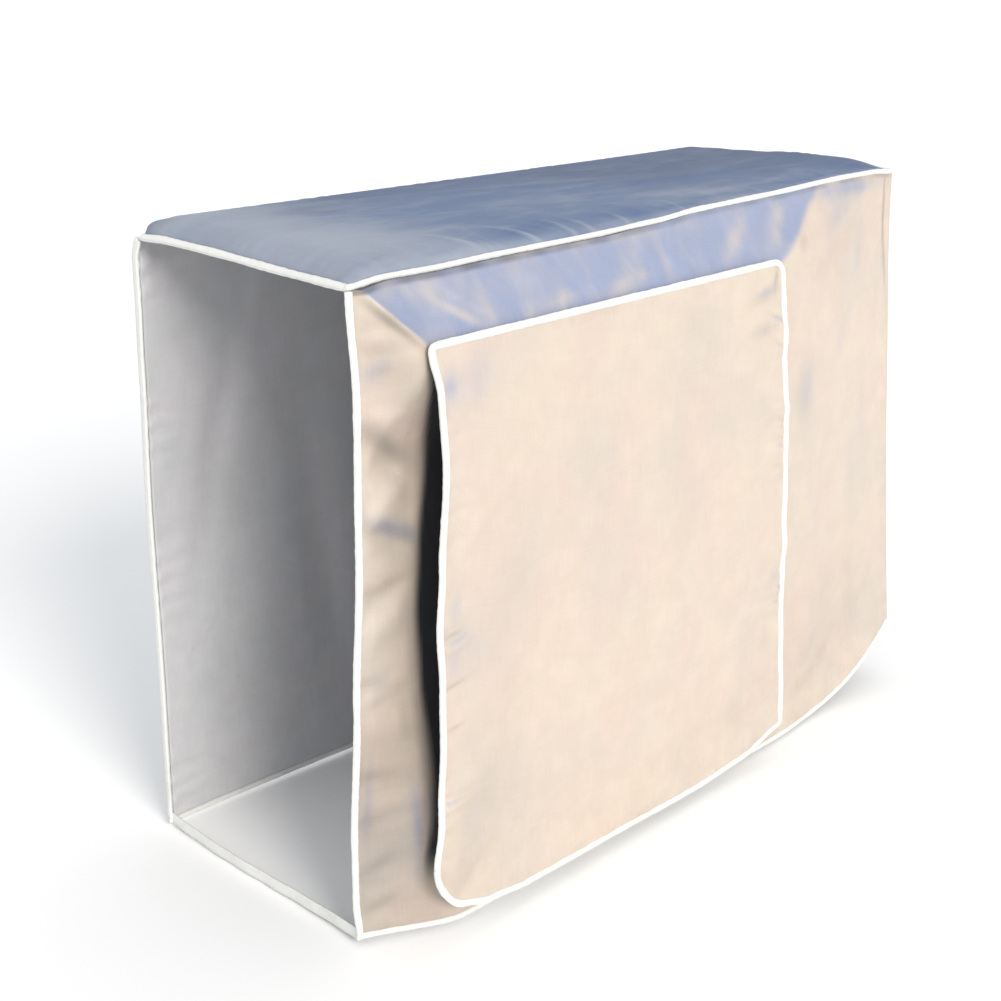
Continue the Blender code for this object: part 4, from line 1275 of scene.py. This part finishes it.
@dataclass
class FrontPart(Part):
    """Front cloth with its hood and air outlet, the tape of its open edge and the hem's tape."""

    columns: Rows = ((0, 0), (44, 0.075), (236, 0.955), (262, 1))
    rows: Rows = ((0, 0), (10, 0.02), (126, 0.875), (186, 1))
    flat: tuple[float, float] = (0.985, 0.745)
    cut_area: float = 0.565
    outlet_middle: tuple[float, float] = (-0.095, -0.365)
    outlet_half: tuple[float, float] = (0.180, 0.235)
    outlet_round: float = 0.040
    outlet_hem: float = 0.012
    # Patches of more or less painted sky reflection on the front.
    sky_reflection_patches: Rows = ((-0.378, -0.026, 0.040, 0.016, -20, -0.30), (-0.348, -0.054, 0.030, 0.006, -31, -0.44),
                   (-0.312, -0.054, 0.022, 0.012, -20, -0.24), (-0.215, -0.062, 0.040, 0.009, 4, -0.27),
                   (-0.115, -0.061, 0.044, 0.010, 8, -0.30), (-0.033, -0.048, 0.026, 0.008, 80, -0.22),
                   (0.100, -0.040, 0.050, 0.013, 32, -0.36), (0.171, -0.043, 0.038, 0.013, 44, -0.32),
                   (0.202, -0.024, 0.018, 0.010, 30, -0.24), (-0.250, -0.010, 0.200, 0.005, -2, -0.40),
                   (-0.300, -0.028, 0.090, 0.018, -6, -0.16), (-0.060, -0.030, 0.060, 0.012, 20, -0.14),
                   (0.350, -0.012, 0.110, 0.012, -2, 0.52), (0.310, -0.040, 0.060, 0.022, 20, 0.32),
                   (0.388, -0.100, 0.052, 0.024, 96, 0.30), (0.246, -0.255, 0.070, 0.030, 96, 0.22),
                   (0.238, -0.235, 0.030, 0.026, 70, 0.12), (0.330, -0.110, 0.050, 0.024, 70, 0.20),
                   (-0.448, -0.092, 0.022, 0.012, 50, 0.42), (-0.420, -0.262, 0.050, 0.011, -28, 0.46),
                   (-0.404, -0.600, 0.070, 0.007, 88, 0.42), (-0.452, -0.560, 0.060, 0.006, 86, 0.34),
                   (-0.440, -0.430, 0.040, 0.018, 70, 0.24), (-0.430, -0.640, 0.070, 0.030, 80, 0.20),
                   (0.300, -0.450, 0.080, 0.024, 94, 0.16), (0.420, -0.330, 0.080, 0.020, 96, 0.18),
                   (0.300, -0.620, 0.060, 0.024, 30, 0.20), (0.345, -0.200, 0.050, 0.020, 60, 0.18))
    # Patches of painted shade on the front: in its folds, along its open and right edges, and broad dim
    # patches.
    painted_shade_patches: Rows = ((-0.433, -0.048, 0.032, 0.0048, -46, 0.40), (-0.438, -0.085, 0.060, 0.034, -60, 0.27),
                  (-0.432, -0.172, 0.050, 0.0130, -38, 0.54), (-0.420, -0.266, 0.050, 0.0110, -28, 0.36),
                  (-0.430, -0.320, 0.042, 0.0080, 6, 0.24), (-0.438, -0.430, 0.036, 0.0080, -16, 0.14),
                  (-0.440, -0.535, 0.034, 0.0080, -10, 0.12), (-0.446, -0.585, 0.026, 0.0070, 10, 0.12),
                  (-0.444, -0.640, 0.026, 0.0080, 34, 0.14), (-0.448, -0.690, 0.022, 0.0070, 30, 0.14),
                  (0.219, -0.062, 0.014, 0.0080, 40, 0.16), (0.243, -0.255, 0.040, 0.0200, 90, 0.08),
                  (0.450, -0.045, 0.050, 0.0026, 93, 0.38), (0.459, -0.115, 0.045, 0.0026, 100, 0.32),
                  (0.320, -0.070, 0.090, 0.0400, 20, 0.09), (0.330, -0.600, 0.160, 0.1200, 20, 0.09),
                  (0.300, -0.660, 0.060, 0.0140, 20, 0.06), (0.400, -0.560, 0.080, 0.0160, 100, 0.05))
    gap_low: tuple[float, float] = (0.430, 0.560)
    gap_start: tuple[float, float, float] = (-0.003, 0.011, 0.005)
    gap_stop: tuple[float, float, float] = (0.004, 0.019, 0.013)
    left_hip_line: tuple[float, float, float] = (-0.405, -0.071, -46.5)
    right_hip_line: tuple[float, float, float] = (0.230, -0.0375, 31.0)
    folds: Rows = ((-0.440, -0.150, 0.060, 0.016, 60, 0.0040), (-0.435, -0.235, 0.050, 0.018, 35, 0.0050),
                   (-0.425, -0.360, 0.060, 0.020, 20, 0.0045), (-0.430, -0.480, 0.055, 0.022, -15, 0.0050),
                   (-0.425, -0.600, 0.060, 0.022, -30, 0.0045), (-0.300, -0.035, 0.050, 0.014, 50, 0.0016),
                   (-0.120, -0.040, 0.045, 0.014, 48, 0.0018), (0.060, -0.036, 0.045, 0.014, 42, 0.0018),
                   (0.270, -0.060, 0.075, 0.020, 45, 0.0030), (0.330, -0.130, 0.100, 0.024, 50, 0.0040),
                   (0.290, -0.300, 0.140, 0.030, 80, 0.0055), (0.380, -0.420, 0.150, 0.028, 95, 0.0050),
                   (0.300, -0.560, 0.120, 0.026, 75, 0.0050), (0.430, -0.200, 0.110, 0.020, 100, 0.0040))
    creases: Rows = ((-0.424, -0.194, 0.050, 0.013, -38, -0.0036),
                     (-0.420, -0.277, 0.048, 0.010, -28, -0.0030),
                     (-0.430, -0.330, 0.044, 0.010, 6, -0.0030), (-0.438, -0.440, 0.040, 0.008, 14, 0.0020),
                     (-0.440, -0.565, 0.050, 0.008, -5, 0.0024), (-0.442, -0.640, 0.040, 0.009, 20, 0.0026),
                     (-0.448, -0.690, 0.030, 0.007, 35, 0.0026), (-0.330, -0.045, 0.055, 0.005, -34, 0.0016),
                     (-0.240, -0.058, 0.030, 0.006, -20, 0.0010),
                     (0.098, -0.038, 0.050, 0.007, 39, 0.0018), (0.171, -0.037, 0.050, 0.007, 43, 0.0020),
                     (0.232, -0.036, 0.055, 0.007, 31, 0.0018), (0.060, -0.034, 0.040, 0.005, 42, 0.0010),
                     (0.345, -0.075, 0.075, 0.011, 60, 0.0026), (0.260, -0.190, 0.060, 0.012, 40, 0.0018),
                     (0.400, -0.300, 0.090, 0.012, 96, 0.0022), (0.340, -0.620, 0.070, 0.012, 40, 0.0024))

    def folds_at(self, x: Array, z: Array) -> Array:
        """Folds and gathers of the front: listed ridges, and gathers along its four seams."""
        form = FORM
        seam = form.seam_level + eased(x, form.front_seam)
        pulled = gathers(x - form.left, z, 0.030, 0.030, 0.0020, 51)
        slant = -0.5 + 1.5 * ramp(x, -0.25, 0.10)
        pulled = pulled + gathers(seam - z, x + slant * (seam - z), 0.027, 0.022, 0.0009, 55)
        pulled = pulled + gathers(np.maximum(z - form.front_hem_z(x), 0), x, 0.028, 0.022, 0.0013, 57)
        pulled = pulled + gathers(np.maximum(form.width / 2 - x, 0) + 0.006, z, 0.026, 0.016, 0.0024, 59)
        return ridges(x, z, self.folds) + ridges(x, z, self.creases) + pulled

    def outlet_distance(self, x: Array, z: Array) -> tuple[Array, Array, Array]:
        """Distance outside the outlet's rounded outline, negative inside, and the way out of it."""
        middle, half = np.array(self.outlet_middle), np.array(self.outlet_half)
        offset = np.stack([x, z], axis=-1) - middle
        beyond = np.abs(offset) - (half - self.outlet_round)
        corner = np.maximum(beyond, 0)
        length = np.linalg.norm(corner, axis=-1)
        distance = length + np.minimum(beyond.max(axis=-1), 0) - self.outlet_round
        flat_way = (beyond == beyond.max(axis=-1, keepdims=True)).astype(float)
        way = np.where(length[..., None] > 0, unit(corner), flat_way) * np.sign(offset)
        return distance, way[..., 0], way[..., 1]

    def under_flap(self, x: Array, z: Array) -> Array:
        """Share of painted shade behind the flap: it starts further in where more air is behind the
        flap and low down, and it dies out at the flap's top and above its round foot."""
        form = FORM
        left, right = eased(z, form.flap_left), eased(z, form.flap_right)
        below = form.seam_level - z
        air = ramp(below, *form.tuck_in) * (1 - ramp(below, *form.tuck_out))
        low = ramp(below, *self.gap_low)
        start, stop = (base + by_air * air + by_low * low for base, by_air, by_low
                       in (self.gap_start, self.gap_stop))
        sides = ramp(x - left, start, stop) * ramp(right - x, 0.002, 0.014)
        ends = ramp(form.flap_top - z, 0.000, 0.016) * ramp(z - form.foot, 0.030, 0.100)
        return sides * ends

    def shade(self, x: Array, z: Array, top: Array) -> Array:
        """Share of shade: deep behind the flap, dim in the folds and low on the open edge, and a
        thin broken line right under the top tape."""
        # Painted shadow under the top tape, painted shade low on the open edge and in the listed folds, and
        # painted shade behind the flap.
        strength = (0.60 - 0.30 * ramp(x, -0.250, 0.100)) * np.clip(0.80 + 0.40 * waver(x, 0.05, 62), 0, 1)
        low = 0.36 * ramp(-z, 0.380, 0.540) - 0.06 * ramp(-z, 0.600, 0.680)
        dim = low * (1 - ramp(x, -0.400, -0.300)) + ridges(x, z, self.painted_shade_patches)
        dim = np.maximum(dim, (1 - ramp(top - z, 0.0030, 0.0076)) * strength)
        return np.clip(np.maximum(self.under_flap(x, z), dim), 0, 1)

    def sky(self, sheet: Sheet) -> Array:
        """Painted cool reflection of the sky: on the slope between both hips, and in the listed patches."""
        x, z = sheet.points[..., 0], sheet.points[..., 2]
        slope = 1 - ramp(beyond(x, z, self.right_hip_line), -0.006, 0.012)
        slope = slope * (1 - ramp(beyond(x, z, self.left_hip_line), -0.004, 0.003))
        return tinted(0.86 * slope * ramp(z, -0.095, -0.080), x, z, self.sky_reflection_patches)

    def build(self, finishes: Finishes) -> None:
        form = FORM
        u, v = np.meshgrid(graded(self.columns), graded(self.rows))
        left, tuck = form.left + form.edge_tuck, form.edge_tuck
        top = form.seam_level + eased(left + (form.width / 2 - left) * u, form.front_seam) - tuck
        hem = form.front_hem_z(left + (form.hem_corner_x - left) * u) + tuck
        z = hem + (top - hem) * v
        corner_foot = form.front_hem_z(np.array(form.hem_corner_x)) + tuck
        corner_z = corner_foot + (form.seam_level - tuck - corner_foot) * v
        x = left + (form.right_corner_x(corner_z) + 0.001 - left) * u
        sway = eased(1 - v, form.left_front_sway) * (1 - ramp(x - form.left, 0, form.sway_reach))
        distance, way_x, way_z = self.outlet_distance(x, z)
        cells = (distance[:-1, :-1] + distance[:-1, 1:] + distance[1:, 1:] + distance[1:, :-1]) > 0
        beside = np.pad(cells, 1, constant_values=True)
        around = np.stack([beside[:-1, :-1], beside[:-1, 1:], beside[1:, 1:], beside[1:, :-1]])
        lip = around.any(axis=0) & ~around.all(axis=0)
        x, z = np.where(lip, x - distance * way_x, x), np.where(lip, z - distance * way_z, z)
        distance = np.where(lip, 0.0, distance)
        out = form.front_out(x, z, self.folds_at(x, z))
        out = out + 0.0008 * (1 - ramp(distance, self.outlet_hem, self.outlet_hem + 0.002))
        points = np.stack([x, form.front + sway - out, z], axis=-1)
        sheet = Sheet("front_cloth", points, cells)
        near = rim_mask(x - form.left, top - z, z - hem, form.right_corner_x(z) - x, np.abs(distance))
        masks = {"sky": self.sky(sheet), "rim": near, "shade": self.shade(x, z, top)}
        self.add_cloth(sheet, masks, finishes.front, finishes, Slot.FRONT, "front_panel")
        self.build_tapes(finishes)

    def build_tapes(self, finishes: Finishes) -> None:
        """Builds the tape up the open edge, and the tape round the hem of front, end and back."""
        form = FORM
        share = np.linspace(0, 1, 200)
        seam = form.seam_level + form.front_seam[0][1]
        foot = float(form.front_hem_z(np.array(form.left)))
        z = seam - 0.003 + (foot - seam + 0.005) * share
        path = np.stack([np.full_like(share, form.left), form.front + eased(share, form.left_front_sway), z],
                        axis=-1)
        facing = np.tile((-0.55, -1.0, 0.0), (len(share), 1))
        self.add_tape(Tape("left_front_tape", path, facing, closed=False, half_width=0.0038, seed=71),
                      "left_front_binding", finishes)
        x = np.linspace(form.left - 0.0045, form.hem_corner_x, 320)
        z = form.front_hem_z(x)
        sway = form.left_front_sway[-1][1] * (1 - ramp(x - form.left, 0, form.sway_reach))
        front = np.stack([x, form.front + sway - form.front_out(x, z, self.folds_at(x, z)), z], axis=-1)
        u = np.linspace(0, 1, 120)[1:]
        y = front[-1, 1] + (form.depth / 2 - front[-1, 1]) * u
        right = np.stack([form.end_x(u, np.array(form.hem_corner_x)), y, form.end_hem_z(u)], axis=-1)
        corner = form.width / 2 + form.back_corner_out
        x = corner - (corner + form.width / 2 + 0.0045) * np.linspace(0, 1, 300)[1:]
        share = np.linspace(0, 1, 300)[1:]
        back = np.stack([x, form.depth / 2 + form.back_bulge(share, np.ones_like(share)),
                         np.full_like(x, form.foot)], axis=-1)
        ways = [(0.0, -1.0, 0.0)] * len(front) + [(1.0, 0.0, 0.0)] * len(right)
        ways += [(0.0, 1.0, 0.0)] * len(back)
        tape = Tape("hem_tape", np.concatenate([front, right, back]), np.array(ways), closed=False, seed=81)
        self.add_tape(tape, "hem_binding", finishes)


@dataclass
class FlapPart(Part):
    """Loose flap in front of the air outlet, and the tape all round it."""

    columns: int = 196
    rows: int = 206
    foot_columns: int = 34
    # Patches of painted sky reflection on the flap.
    sky_reflection_patches: Rows = ((-0.383, -0.113, 0.015, 0.011, 80, 0.34), (-0.350, -0.112, 0.090, 0.040, 20, 0.30),
                   (-0.385, -0.341, 0.024, 0.010, 76, 0.30), (-0.386, -0.400, 0.030, 0.012, 70, 0.26),
                   (-0.360, -0.400, 0.080, 0.024, 80, 0.16), (0.128, -0.104, 0.026, 0.009, 10, 0.36),
                   (0.128, -0.147, 0.028, 0.010, 4, 0.30), (0.150, -0.170, 0.024, 0.009, -20, 0.20),
                   (0.020, -0.110, 0.090, 0.030, 100, 0.12), (-0.355, -0.600, 0.090, 0.034, 70, 0.18),
                   (-0.160, -0.300, 0.200, 0.035, 84, 0.10), (0.175, -0.480, 0.030, 0.010, 30, 0.16),
                   (-0.290, -0.350, 0.130, 0.050, 60, 0.16), (0.176, -0.400, 0.110, 0.010, 92, 0.14))
    # Patches of painted shade at the flap's creases and gathers.
    painted_shade_patches: Rows = ((0.147, -0.090, 0.014, 0.0040, 84, 0.26), (0.128, -0.108, 0.026, 0.0090, 14, 0.12),
                  (-0.345, -0.590, 0.120, 0.0500, 76, 0.09), (0.100, -0.640, 0.090, 0.0300, 10, 0.05),
                  (0.130, -0.150, 0.026, 0.0080, 0, 0.08), (-0.375, -0.660, 0.030, 0.0120, 60, 0.12),
                  (-0.387, -0.372, 0.012, 0.0022, 6, 0.26), (-0.386, -0.430, 0.014, 0.0022, 10, 0.24),
                  (-0.384, -0.478, 0.012, 0.0024, 6, 0.20), (0.165, -0.560, 0.070, 0.0180, 84, 0.06),
                  (-0.290, -0.350, 0.130, 0.0480, 60, 0.035), (-0.010, -0.250, 0.200, 0.0260, 88, 0.025))
    top_columns: int = 14
    right_wider: float = 0.30
    flat: tuple[float, float] = (0.620, 0.648)
    folds: Rows = ((-0.330, -0.330, 0.220, 0.040, 92, 0.0045), (-0.180, -0.420, 0.240, 0.045, 86, 0.0035),
                   (-0.030, -0.380, 0.260, 0.045, 94, 0.0045), (0.110, -0.400, 0.240, 0.035, 88, 0.0040),
                   (0.160, -0.170, 0.060, 0.014, 20, 0.0030), (0.165, -0.250, 0.060, 0.014, -15, 0.0035),
                   (0.175, -0.440, 0.060, 0.016, 15, 0.0030), (-0.370, -0.560, 0.080, 0.020, 40, 0.0035))
    creases: Rows = ((0.146, -0.112, 0.036, 0.007, -12, 0.0026), (0.148, -0.142, 0.038, 0.007, -24, 0.0028),
                     (0.156, -0.175, 0.030, 0.007, -34, 0.0022), (-0.382, -0.352, 0.024, 0.006, 8, 0.0024),
                     (-0.382, -0.385, 0.028, 0.007, 14, 0.0030), (-0.382, -0.422, 0.024, 0.006, 10, 0.0024),
                     (-0.384, -0.478, 0.018, 0.005, 6, 0.0018), (-0.372, -0.118, 0.034, 0.012, -34, 0.0030),
                     (-0.330, -0.250, 0.100, 0.012, 40, 0.0012), (0.170, -0.330, 0.024, 0.006, 8, 0.0018),
                     (0.182, -0.490, 0.028, 0.007, -16, 0.0022), (0.150, -0.660, 0.060, 0.010, -40, 0.0026),
                     (-0.120, -0.640, 0.090, 0.012, 76, 0.0016), (-0.360, -0.650, 0.045, 0.010, 48, 0.0026))

    def column_shares(self) -> Array:
        """Shares of the columns across the flap, closer together inside its two rounded corners."""
        form = FORM
        width = form.flap_right[0][1] - form.flap_left[0][1]
        left = form.flap_foot_round / width * (1 - np.cos(np.linspace(0, np.pi / 2, self.foot_columns + 1)))
        turn = np.linspace(0, np.pi / 2, self.top_columns + 1)
        right = 1 - form.flap_top_round / width * (1 - np.cos(turn))
        count = self.columns - self.foot_columns - self.top_columns + 1
        between = np.linspace(left[-1], right[-1], count)
        return np.concatenate([left, between[1:-1], right[::-1]])

    def points(self, u: Array, v: Array, inset: float, pulled: bool) -> Array:
        """Points of the flap.

        Args:
            u: Share from its left edge to its right one.
            v: Share from its foot to its top.
            inset: How far its outline is drawn in.
            pulled: Whether the gathers and small creases are added, which die out at its edges.

        Returns:
            Points: the outline's place and height, and how far the flap stands out there.
        """
        form = FORM
        x, z = form.flap_outline(u, v, inset)
        base = ridges(x, z, self.folds)
        if pulled:
            left, right = x - eased(z, form.flap_left), eased(z, form.flap_right) - x
            low, high = z - eased(x, form.flap_foot), form.flap_top - z
            fade = ramp(np.minimum.reduce([left, right, low + 0.004, high]), 0.0, 0.010)
            extra = gathers(left, z, 0.026, 0.020, 0.0022, 91) + gathers(right, z, 0.024, 0.024, 0.0024, 95)
            extra = extra + gathers(high, x, 0.021, 0.016, 0.0011, 99)
            extra = extra + gathers(np.maximum(low, 0), x, 0.030, 0.026, 0.0016, 103)
            base = base + fade * (extra + ridges(x, z, self.creases))
        return np.stack([x, form.front - form.flap_out(x, z, base), z], axis=-1)

    def build(self, finishes: Finishes) -> None:
        form = FORM
        columns = self.column_shares()
        u, v = np.meshgrid(columns, spaced(np.linspace(0, 1, self.rows + 1), 0.2))
        points = self.points(u, v, form.edge_tuck, True)
        sheet = Sheet("flap_cloth", points, whole(points))
        x, z = points[..., 0], points[..., 2]
        near = rim_mask(x - eased(z, form.flap_left), eased(z, form.flap_right) - x, form.flap_top - z,
                        z - eased(x, form.flap_foot))
        # Painted sky reflection where the flap looks up, and painted shade in the listed patches.
        sky = tinted(0.45 * sky_reflection_mask(sheet, 0.16, 0.50), x, z, self.sky_reflection_patches)
        masks = {"sky": sky, "rim": near, "shade": tinted(0 * x, x, z, self.painted_shade_patches)}
        self.add_cloth(sheet, masks, finishes.flap, finishes, Slot.FRONT, "front_flap")
        v = np.linspace(0, 1, 210)
        one = np.ones_like
        loop = [self.points(columns, 0 * columns, 0.0, False), self.points(one(v), v, 0.0, False),
                self.points(columns, one(columns), 0.0, False)[::-1], self.points(0 * v, v, 0.0, False)[::-1]]
        path = np.concatenate([side[:-1] for side in loop])
        facing = np.tile((0.0, -1.0, 0.0), (len(path), 1))
        share = np.linspace(0, 1, len(loop[1]) - 1)
        wide = 1 + self.right_wider * ramp(share, 0.00, 0.04) * (1 - ramp(share, 0.95, 1.00))
        widen = np.concatenate([np.ones(len(loop[0]) - 1), wide, np.ones(len(loop[2]) + len(loop[3]) - 2)])
        tape = Tape("flap_tape", path, facing, closed=True, half_width=0.0040, widen=widen, seed=111)
        self.add_tape(tape, "flap_binding", finishes)


@dataclass
class RightPart(Part):
    """Cloth of the closed right end."""

    columns: int = 100
    rows: int = 180
    flat: tuple[float, float] = (0.352, 0.712)
    back_fade: float = 0.008
    folds: Rows = ((-0.120, -0.200, 0.160, 0.020, 80, 0.0040), (-0.060, -0.450, 0.170, 0.022, 100, 0.0040),
                   (0.040, -0.260, 0.180, 0.024, 86, 0.0035), (0.110, -0.520, 0.120, 0.020, 75, 0.0035),
                   (-0.140, -0.600, 0.080, 0.014, 60, 0.0030), (0.060, -0.060, 0.050, 0.012, 70, 0.0025))

    def build(self, finishes: Finishes) -> None:
        form = FORM
        u, v = even_grid(self.columns, self.rows, (0.3, 0.2))
        top = form.seam_level + eased(form.depth * (u - 0.5), form.right_seam) - form.edge_tuck
        hem = form.end_hem_z(u) + form.edge_tuck
        z = hem + (top - hem) * v
        front, back = form.front - form.corner_swing(z) + 0.0004, form.depth / 2 - 0.0004
        y = front + (back - front) * u
        x = form.end_x(u, form.right_corner_x(z))
        edge = np.sin(np.pi * np.clip(u, 0, 1)) ** 0.5 * ramp(z - hem, 0, 0.03) * ramp(top - z, 0, 0.02)
        pulled = gathers(u * form.depth + 0.004, z, 0.024, 0.024, 0.0034, 121)
        behind = (1 - u) * form.depth
        faded = ramp(behind, 0.000, self.back_fade)
        pulled = pulled + gathers(behind, z, 0.030, 0.024, 0.0020, 125) * faded
        pulled = pulled + gathers(top - z, y, 0.022, 0.022, 0.0014, 127)
        x = x + edge * ridges(y, z, self.folds) + pulled
        points = np.stack([x, y, z], axis=-1)
        sheet = Sheet("right_cloth", points, whole(points))
        near = rim_mask(u * form.depth, (1 - u) * form.depth, top - z, z - hem)
        # The sky attribute carries the painted sky reflection where the cloth looks up.
        masks = {"sky": sky_reflection_mask(sheet, 0.0, 0.5), "rim": near, "shade": np.zeros_like(u)}
        self.add_cloth(sheet, masks, finishes.end, finishes, Slot.END, "right_panel")


@dataclass
class BackPart(Part):
    """Cloth of the back, and the tape of its edge at the open end."""

    columns: int = 190
    rows: int = 140
    flat: tuple[float, float] = (0.945, 0.712)
    folds: Rows = ((0.330, -0.300, 0.240, 0.030, 88, 0.0040), (0.150, -0.420, 0.220, 0.034, 94, 0.0045),
                   (-0.040, -0.330, 0.240, 0.032, 84, 0.0040), (-0.220, -0.450, 0.220, 0.030, 97, 0.0045),
                   (-0.370, -0.260, 0.160, 0.022, 78, 0.0035), (0.260, -0.080, 0.070, 0.014, 60, 0.0030),
                   (-0.120, -0.070, 0.070, 0.014, 112, 0.0030), (0.000, -0.600, 0.200, 0.018, 6, 0.0025))

    corner_puff: float = 0.0035
    tape_out: tuple[float, float, float] = (-0.0012, 0.0022, 0.0)
    tape_wide: Rows = ((0.00, 1.06), (0.35, 1.02), (0.70, 0.84), (1.00, 0.76))

    def build(self, finishes: Finishes) -> None:
        form = FORM
        u, v = even_grid(self.columns, self.rows, (0.25, 0.2))
        right = form.width / 2 + form.back_corner_out + 0.001
        x = right + (form.left + form.edge_tuck - right) * u
        top = form.seam_level + eased(x, form.back_seam) - form.edge_tuck
        hem = form.foot + form.edge_tuck
        z = hem + (top - hem) * v
        edge = ramp(right - x, 0, 0.03) * ramp(x - form.left, 0, 0.02) * ramp(z - hem, 0, 0.03)
        edge = edge * ramp(top - z, 0, 0.02)
        pulled = gathers(top - z, x, 0.026, 0.026, 0.0016, 131)
        pulled = pulled + gathers(right - x + 0.004, z, 0.028, 0.024, 0.0020, 133)
        pulled = pulled + gathers(x - form.left, z, 0.030, 0.028, 0.0018, 135)
        y = form.depth / 2 + form.back_bulge(u, 1 - v) + edge * ridges(x, z, self.folds) + pulled
        y = y + self.corner_puff * np.exp(-((x - form.left) / 0.06) ** 2 - ((top - z - 0.02) / 0.05) ** 2)
        points = np.stack([x, y, z], axis=-1)
        sheet = Sheet("back_cloth", points, whole(points))
        near = rim_mask(right - x, x - form.left, top - z, z - hem)
        # The sky attribute carries the painted sky reflection where the cloth looks up.
        masks = {"sky": sky_reflection_mask(sheet, 0.0, 0.5), "rim": near, "shade": np.zeros_like(u)}
        self.add_cloth(sheet, masks, finishes.end, finishes, Slot.END, "back_panel")
        share = np.linspace(0, 1, 200)
        seam = form.seam_level + form.back_seam[0][1]
        path = np.stack([np.full_like(share, form.left), form.depth / 2 + eased(share, form.left_back_sway),
                         seam - 0.003 + (form.foot - seam + 0.005) * share], axis=-1)
        below = (seam - path[:, 2])[:, None]
        path[:, 1] += self.corner_puff * np.exp(-((below[:, 0] - 0.02) / 0.05) ** 2)
        moved = ramp(below, 0.0, 0.020)
        path += np.array(self.tape_out) * moved - (0.0, 0.004, 0.0) * (1 - moved)
        facing = np.tile((-1.0, 0.10, 0.0), (len(share), 1))
        tape = Tape("left_back_tape", path, facing, closed=False, half_width=0.0052,
                    widen=eased(share, self.tape_wide), seed=141)
        self.add_tape(tape, "left_back_binding", finishes)


@dataclass
class FootBandPart(Part):
    """Flat band across the foot of the open end."""

    height: float = 0.014
    rise: float = 0.0035
    slant: float = 0.002
    sag: float = 0.004
    wave: float = 0.002
    columns: int = 150
    rows: int = 10
    flat: tuple[float, float] = (0.345, 0.014)

    def build(self, finishes: Finishes) -> None:
        form = FORM
        u, v = even_grid(self.columns, self.rows, (0.0, 0.0))
        share = 1 - u
        front = form.front + form.left_front_sway[-1][1]
        back = form.depth / 2 + form.left_back_sway[-1][1]
        middle = form.foot + self.rise + self.slant * u - self.sag * np.sin(np.pi * share)
        belly = 0.0004 * waver(share * form.depth, 0.05, 151) - 0.0005 * np.sin(np.pi * v)
        x = form.left + self.wave * np.sin(2 * np.pi * share) + belly
        points = np.stack([x, front + (back - front) * share, middle + self.height * (v - 0.5)], axis=-1)
        sheet = Sheet("foot_band_tape", points, whole(points), thickness=0.0016)
        self.cloth = sheet.build({"rim": np.zeros_like(u)})
        self.cloth.data.materials.append(finishes.tape)
        self.cloth.data.materials.append(finishes.tape)
        attach(self.cloth, Slot.TAPE, "foot_band")


@dataclass(frozen=True)
class Studio:
    """Floor, soft lights and the camera at the photograph's viewing angle."""

    floor_level: float = -0.7365
    floor_half: float = 30.0
    azimuth: float = 45.7222
    elevation: float = 20.0359
    roll: float = 0.4487
    focal_pixels: float = 1654.4
    image_pixels: float = 1001.0
    sensor: float = 36.0
    eye: tuple[float, float, float] = (-1.4418, -1.3232, 0.3302)
    centre_pixels: tuple[float, float] = (501.8154, 497.3061)
    key_towards: tuple[float, float, float] = (-0.28, -1.00, 0.55)
    key_power: float = 2.4
    key_angle: float = 24.0
    key_colour: Colour = (1.00, 0.95, 0.88)
    sky_strength: float = 0.86
    sky_colour: Colour = (0.94, 0.97, 1.00)

    def place_camera(self) -> None:
        """Makes the camera: its turn about its own axis and its small shift come last."""
        across, up = math.radians(self.azimuth), math.radians(self.elevation)
        ahead = Vector((math.sin(across) * math.cos(up), math.cos(across) * math.cos(up), -math.sin(up)))
        right = Vector((math.cos(across), -math.sin(across), 0.0))
        above = right.cross(ahead)
        turn = math.radians(self.roll)
        turned = math.cos(turn) * right + math.sin(turn) * above
        above = math.cos(turn) * above - math.sin(turn) * right
        data = bpy.data.cameras.new("camera")
        data.sensor_width = self.sensor
        data.sensor_fit = "HORIZONTAL"
        data.lens = self.focal_pixels * self.sensor / self.image_pixels
        data.shift_x = (self.image_pixels / 2 - self.centre_pixels[0]) / self.image_pixels
        data.shift_y = (self.centre_pixels[1] - self.image_pixels / 2) / self.image_pixels
        data.clip_start, data.clip_end = 0.05, 100.0
        camera = bpy.data.objects.new("camera", data)
        camera.matrix_world = Matrix.Translation(self.eye) @ Matrix(
            (turned, above, -ahead)).transposed().to_4x4()
        bpy.context.scene.collection.objects.link(camera)
        bpy.context.scene.camera = camera

    def place_floor(self) -> None:
        """Makes the floor just under the hem."""
        half = self.floor_half
        mesh = bpy.data.meshes.new("floor")
        corners = [(-half, -half), (half, -half), (half, half), (-half, half)]
        mesh.from_pydata([(x, y, self.floor_level) for x, y in corners], [], [(0, 1, 2, 3)])
        mesh.materials.append(StudioFloor("floor_paint").material())
        link("floor", mesh)

    def place_lights(self) -> None:
        """Makes a soft warm key from the front and the right, and a pale sky all round."""
        data = bpy.data.lights.new("key", "SUN")
        data.energy, data.color, data.angle = self.key_power, self.key_colour, math.radians(self.key_angle)
        key = bpy.data.objects.new("key", data)
        key.rotation_euler = (-Vector(self.key_towards)).to_track_quat("-Z", "Y").to_euler()
        bpy.context.scene.collection.objects.link(key)
        world = bpy.data.worlds.new("sky")
        world.use_nodes = True
        background = world.node_tree.nodes["Background"]
        background.inputs["Color"].default_value = (*self.sky_colour, 1.0)
        background.inputs["Strength"].default_value = self.sky_strength
        bpy.context.scene.world = world
        bpy.context.scene.view_settings.view_transform = "Standard"


def main() -> None:
    """Builds the studio and every piece of the cover."""
    logging.basicConfig(level=logging.INFO, format="%(name)s: %(message)s")
    studio = Studio()
    studio.place_camera()
    studio.place_floor()
    studio.place_lights()
    finishes = Finishes.make()
    for part in (TopPart(), FrontPart(), FlapPart(), RightPart(), BackPart(), FootBandPart()):
        part.build(finishes)
        part.report()


if __name__ == "__main__":
    main()
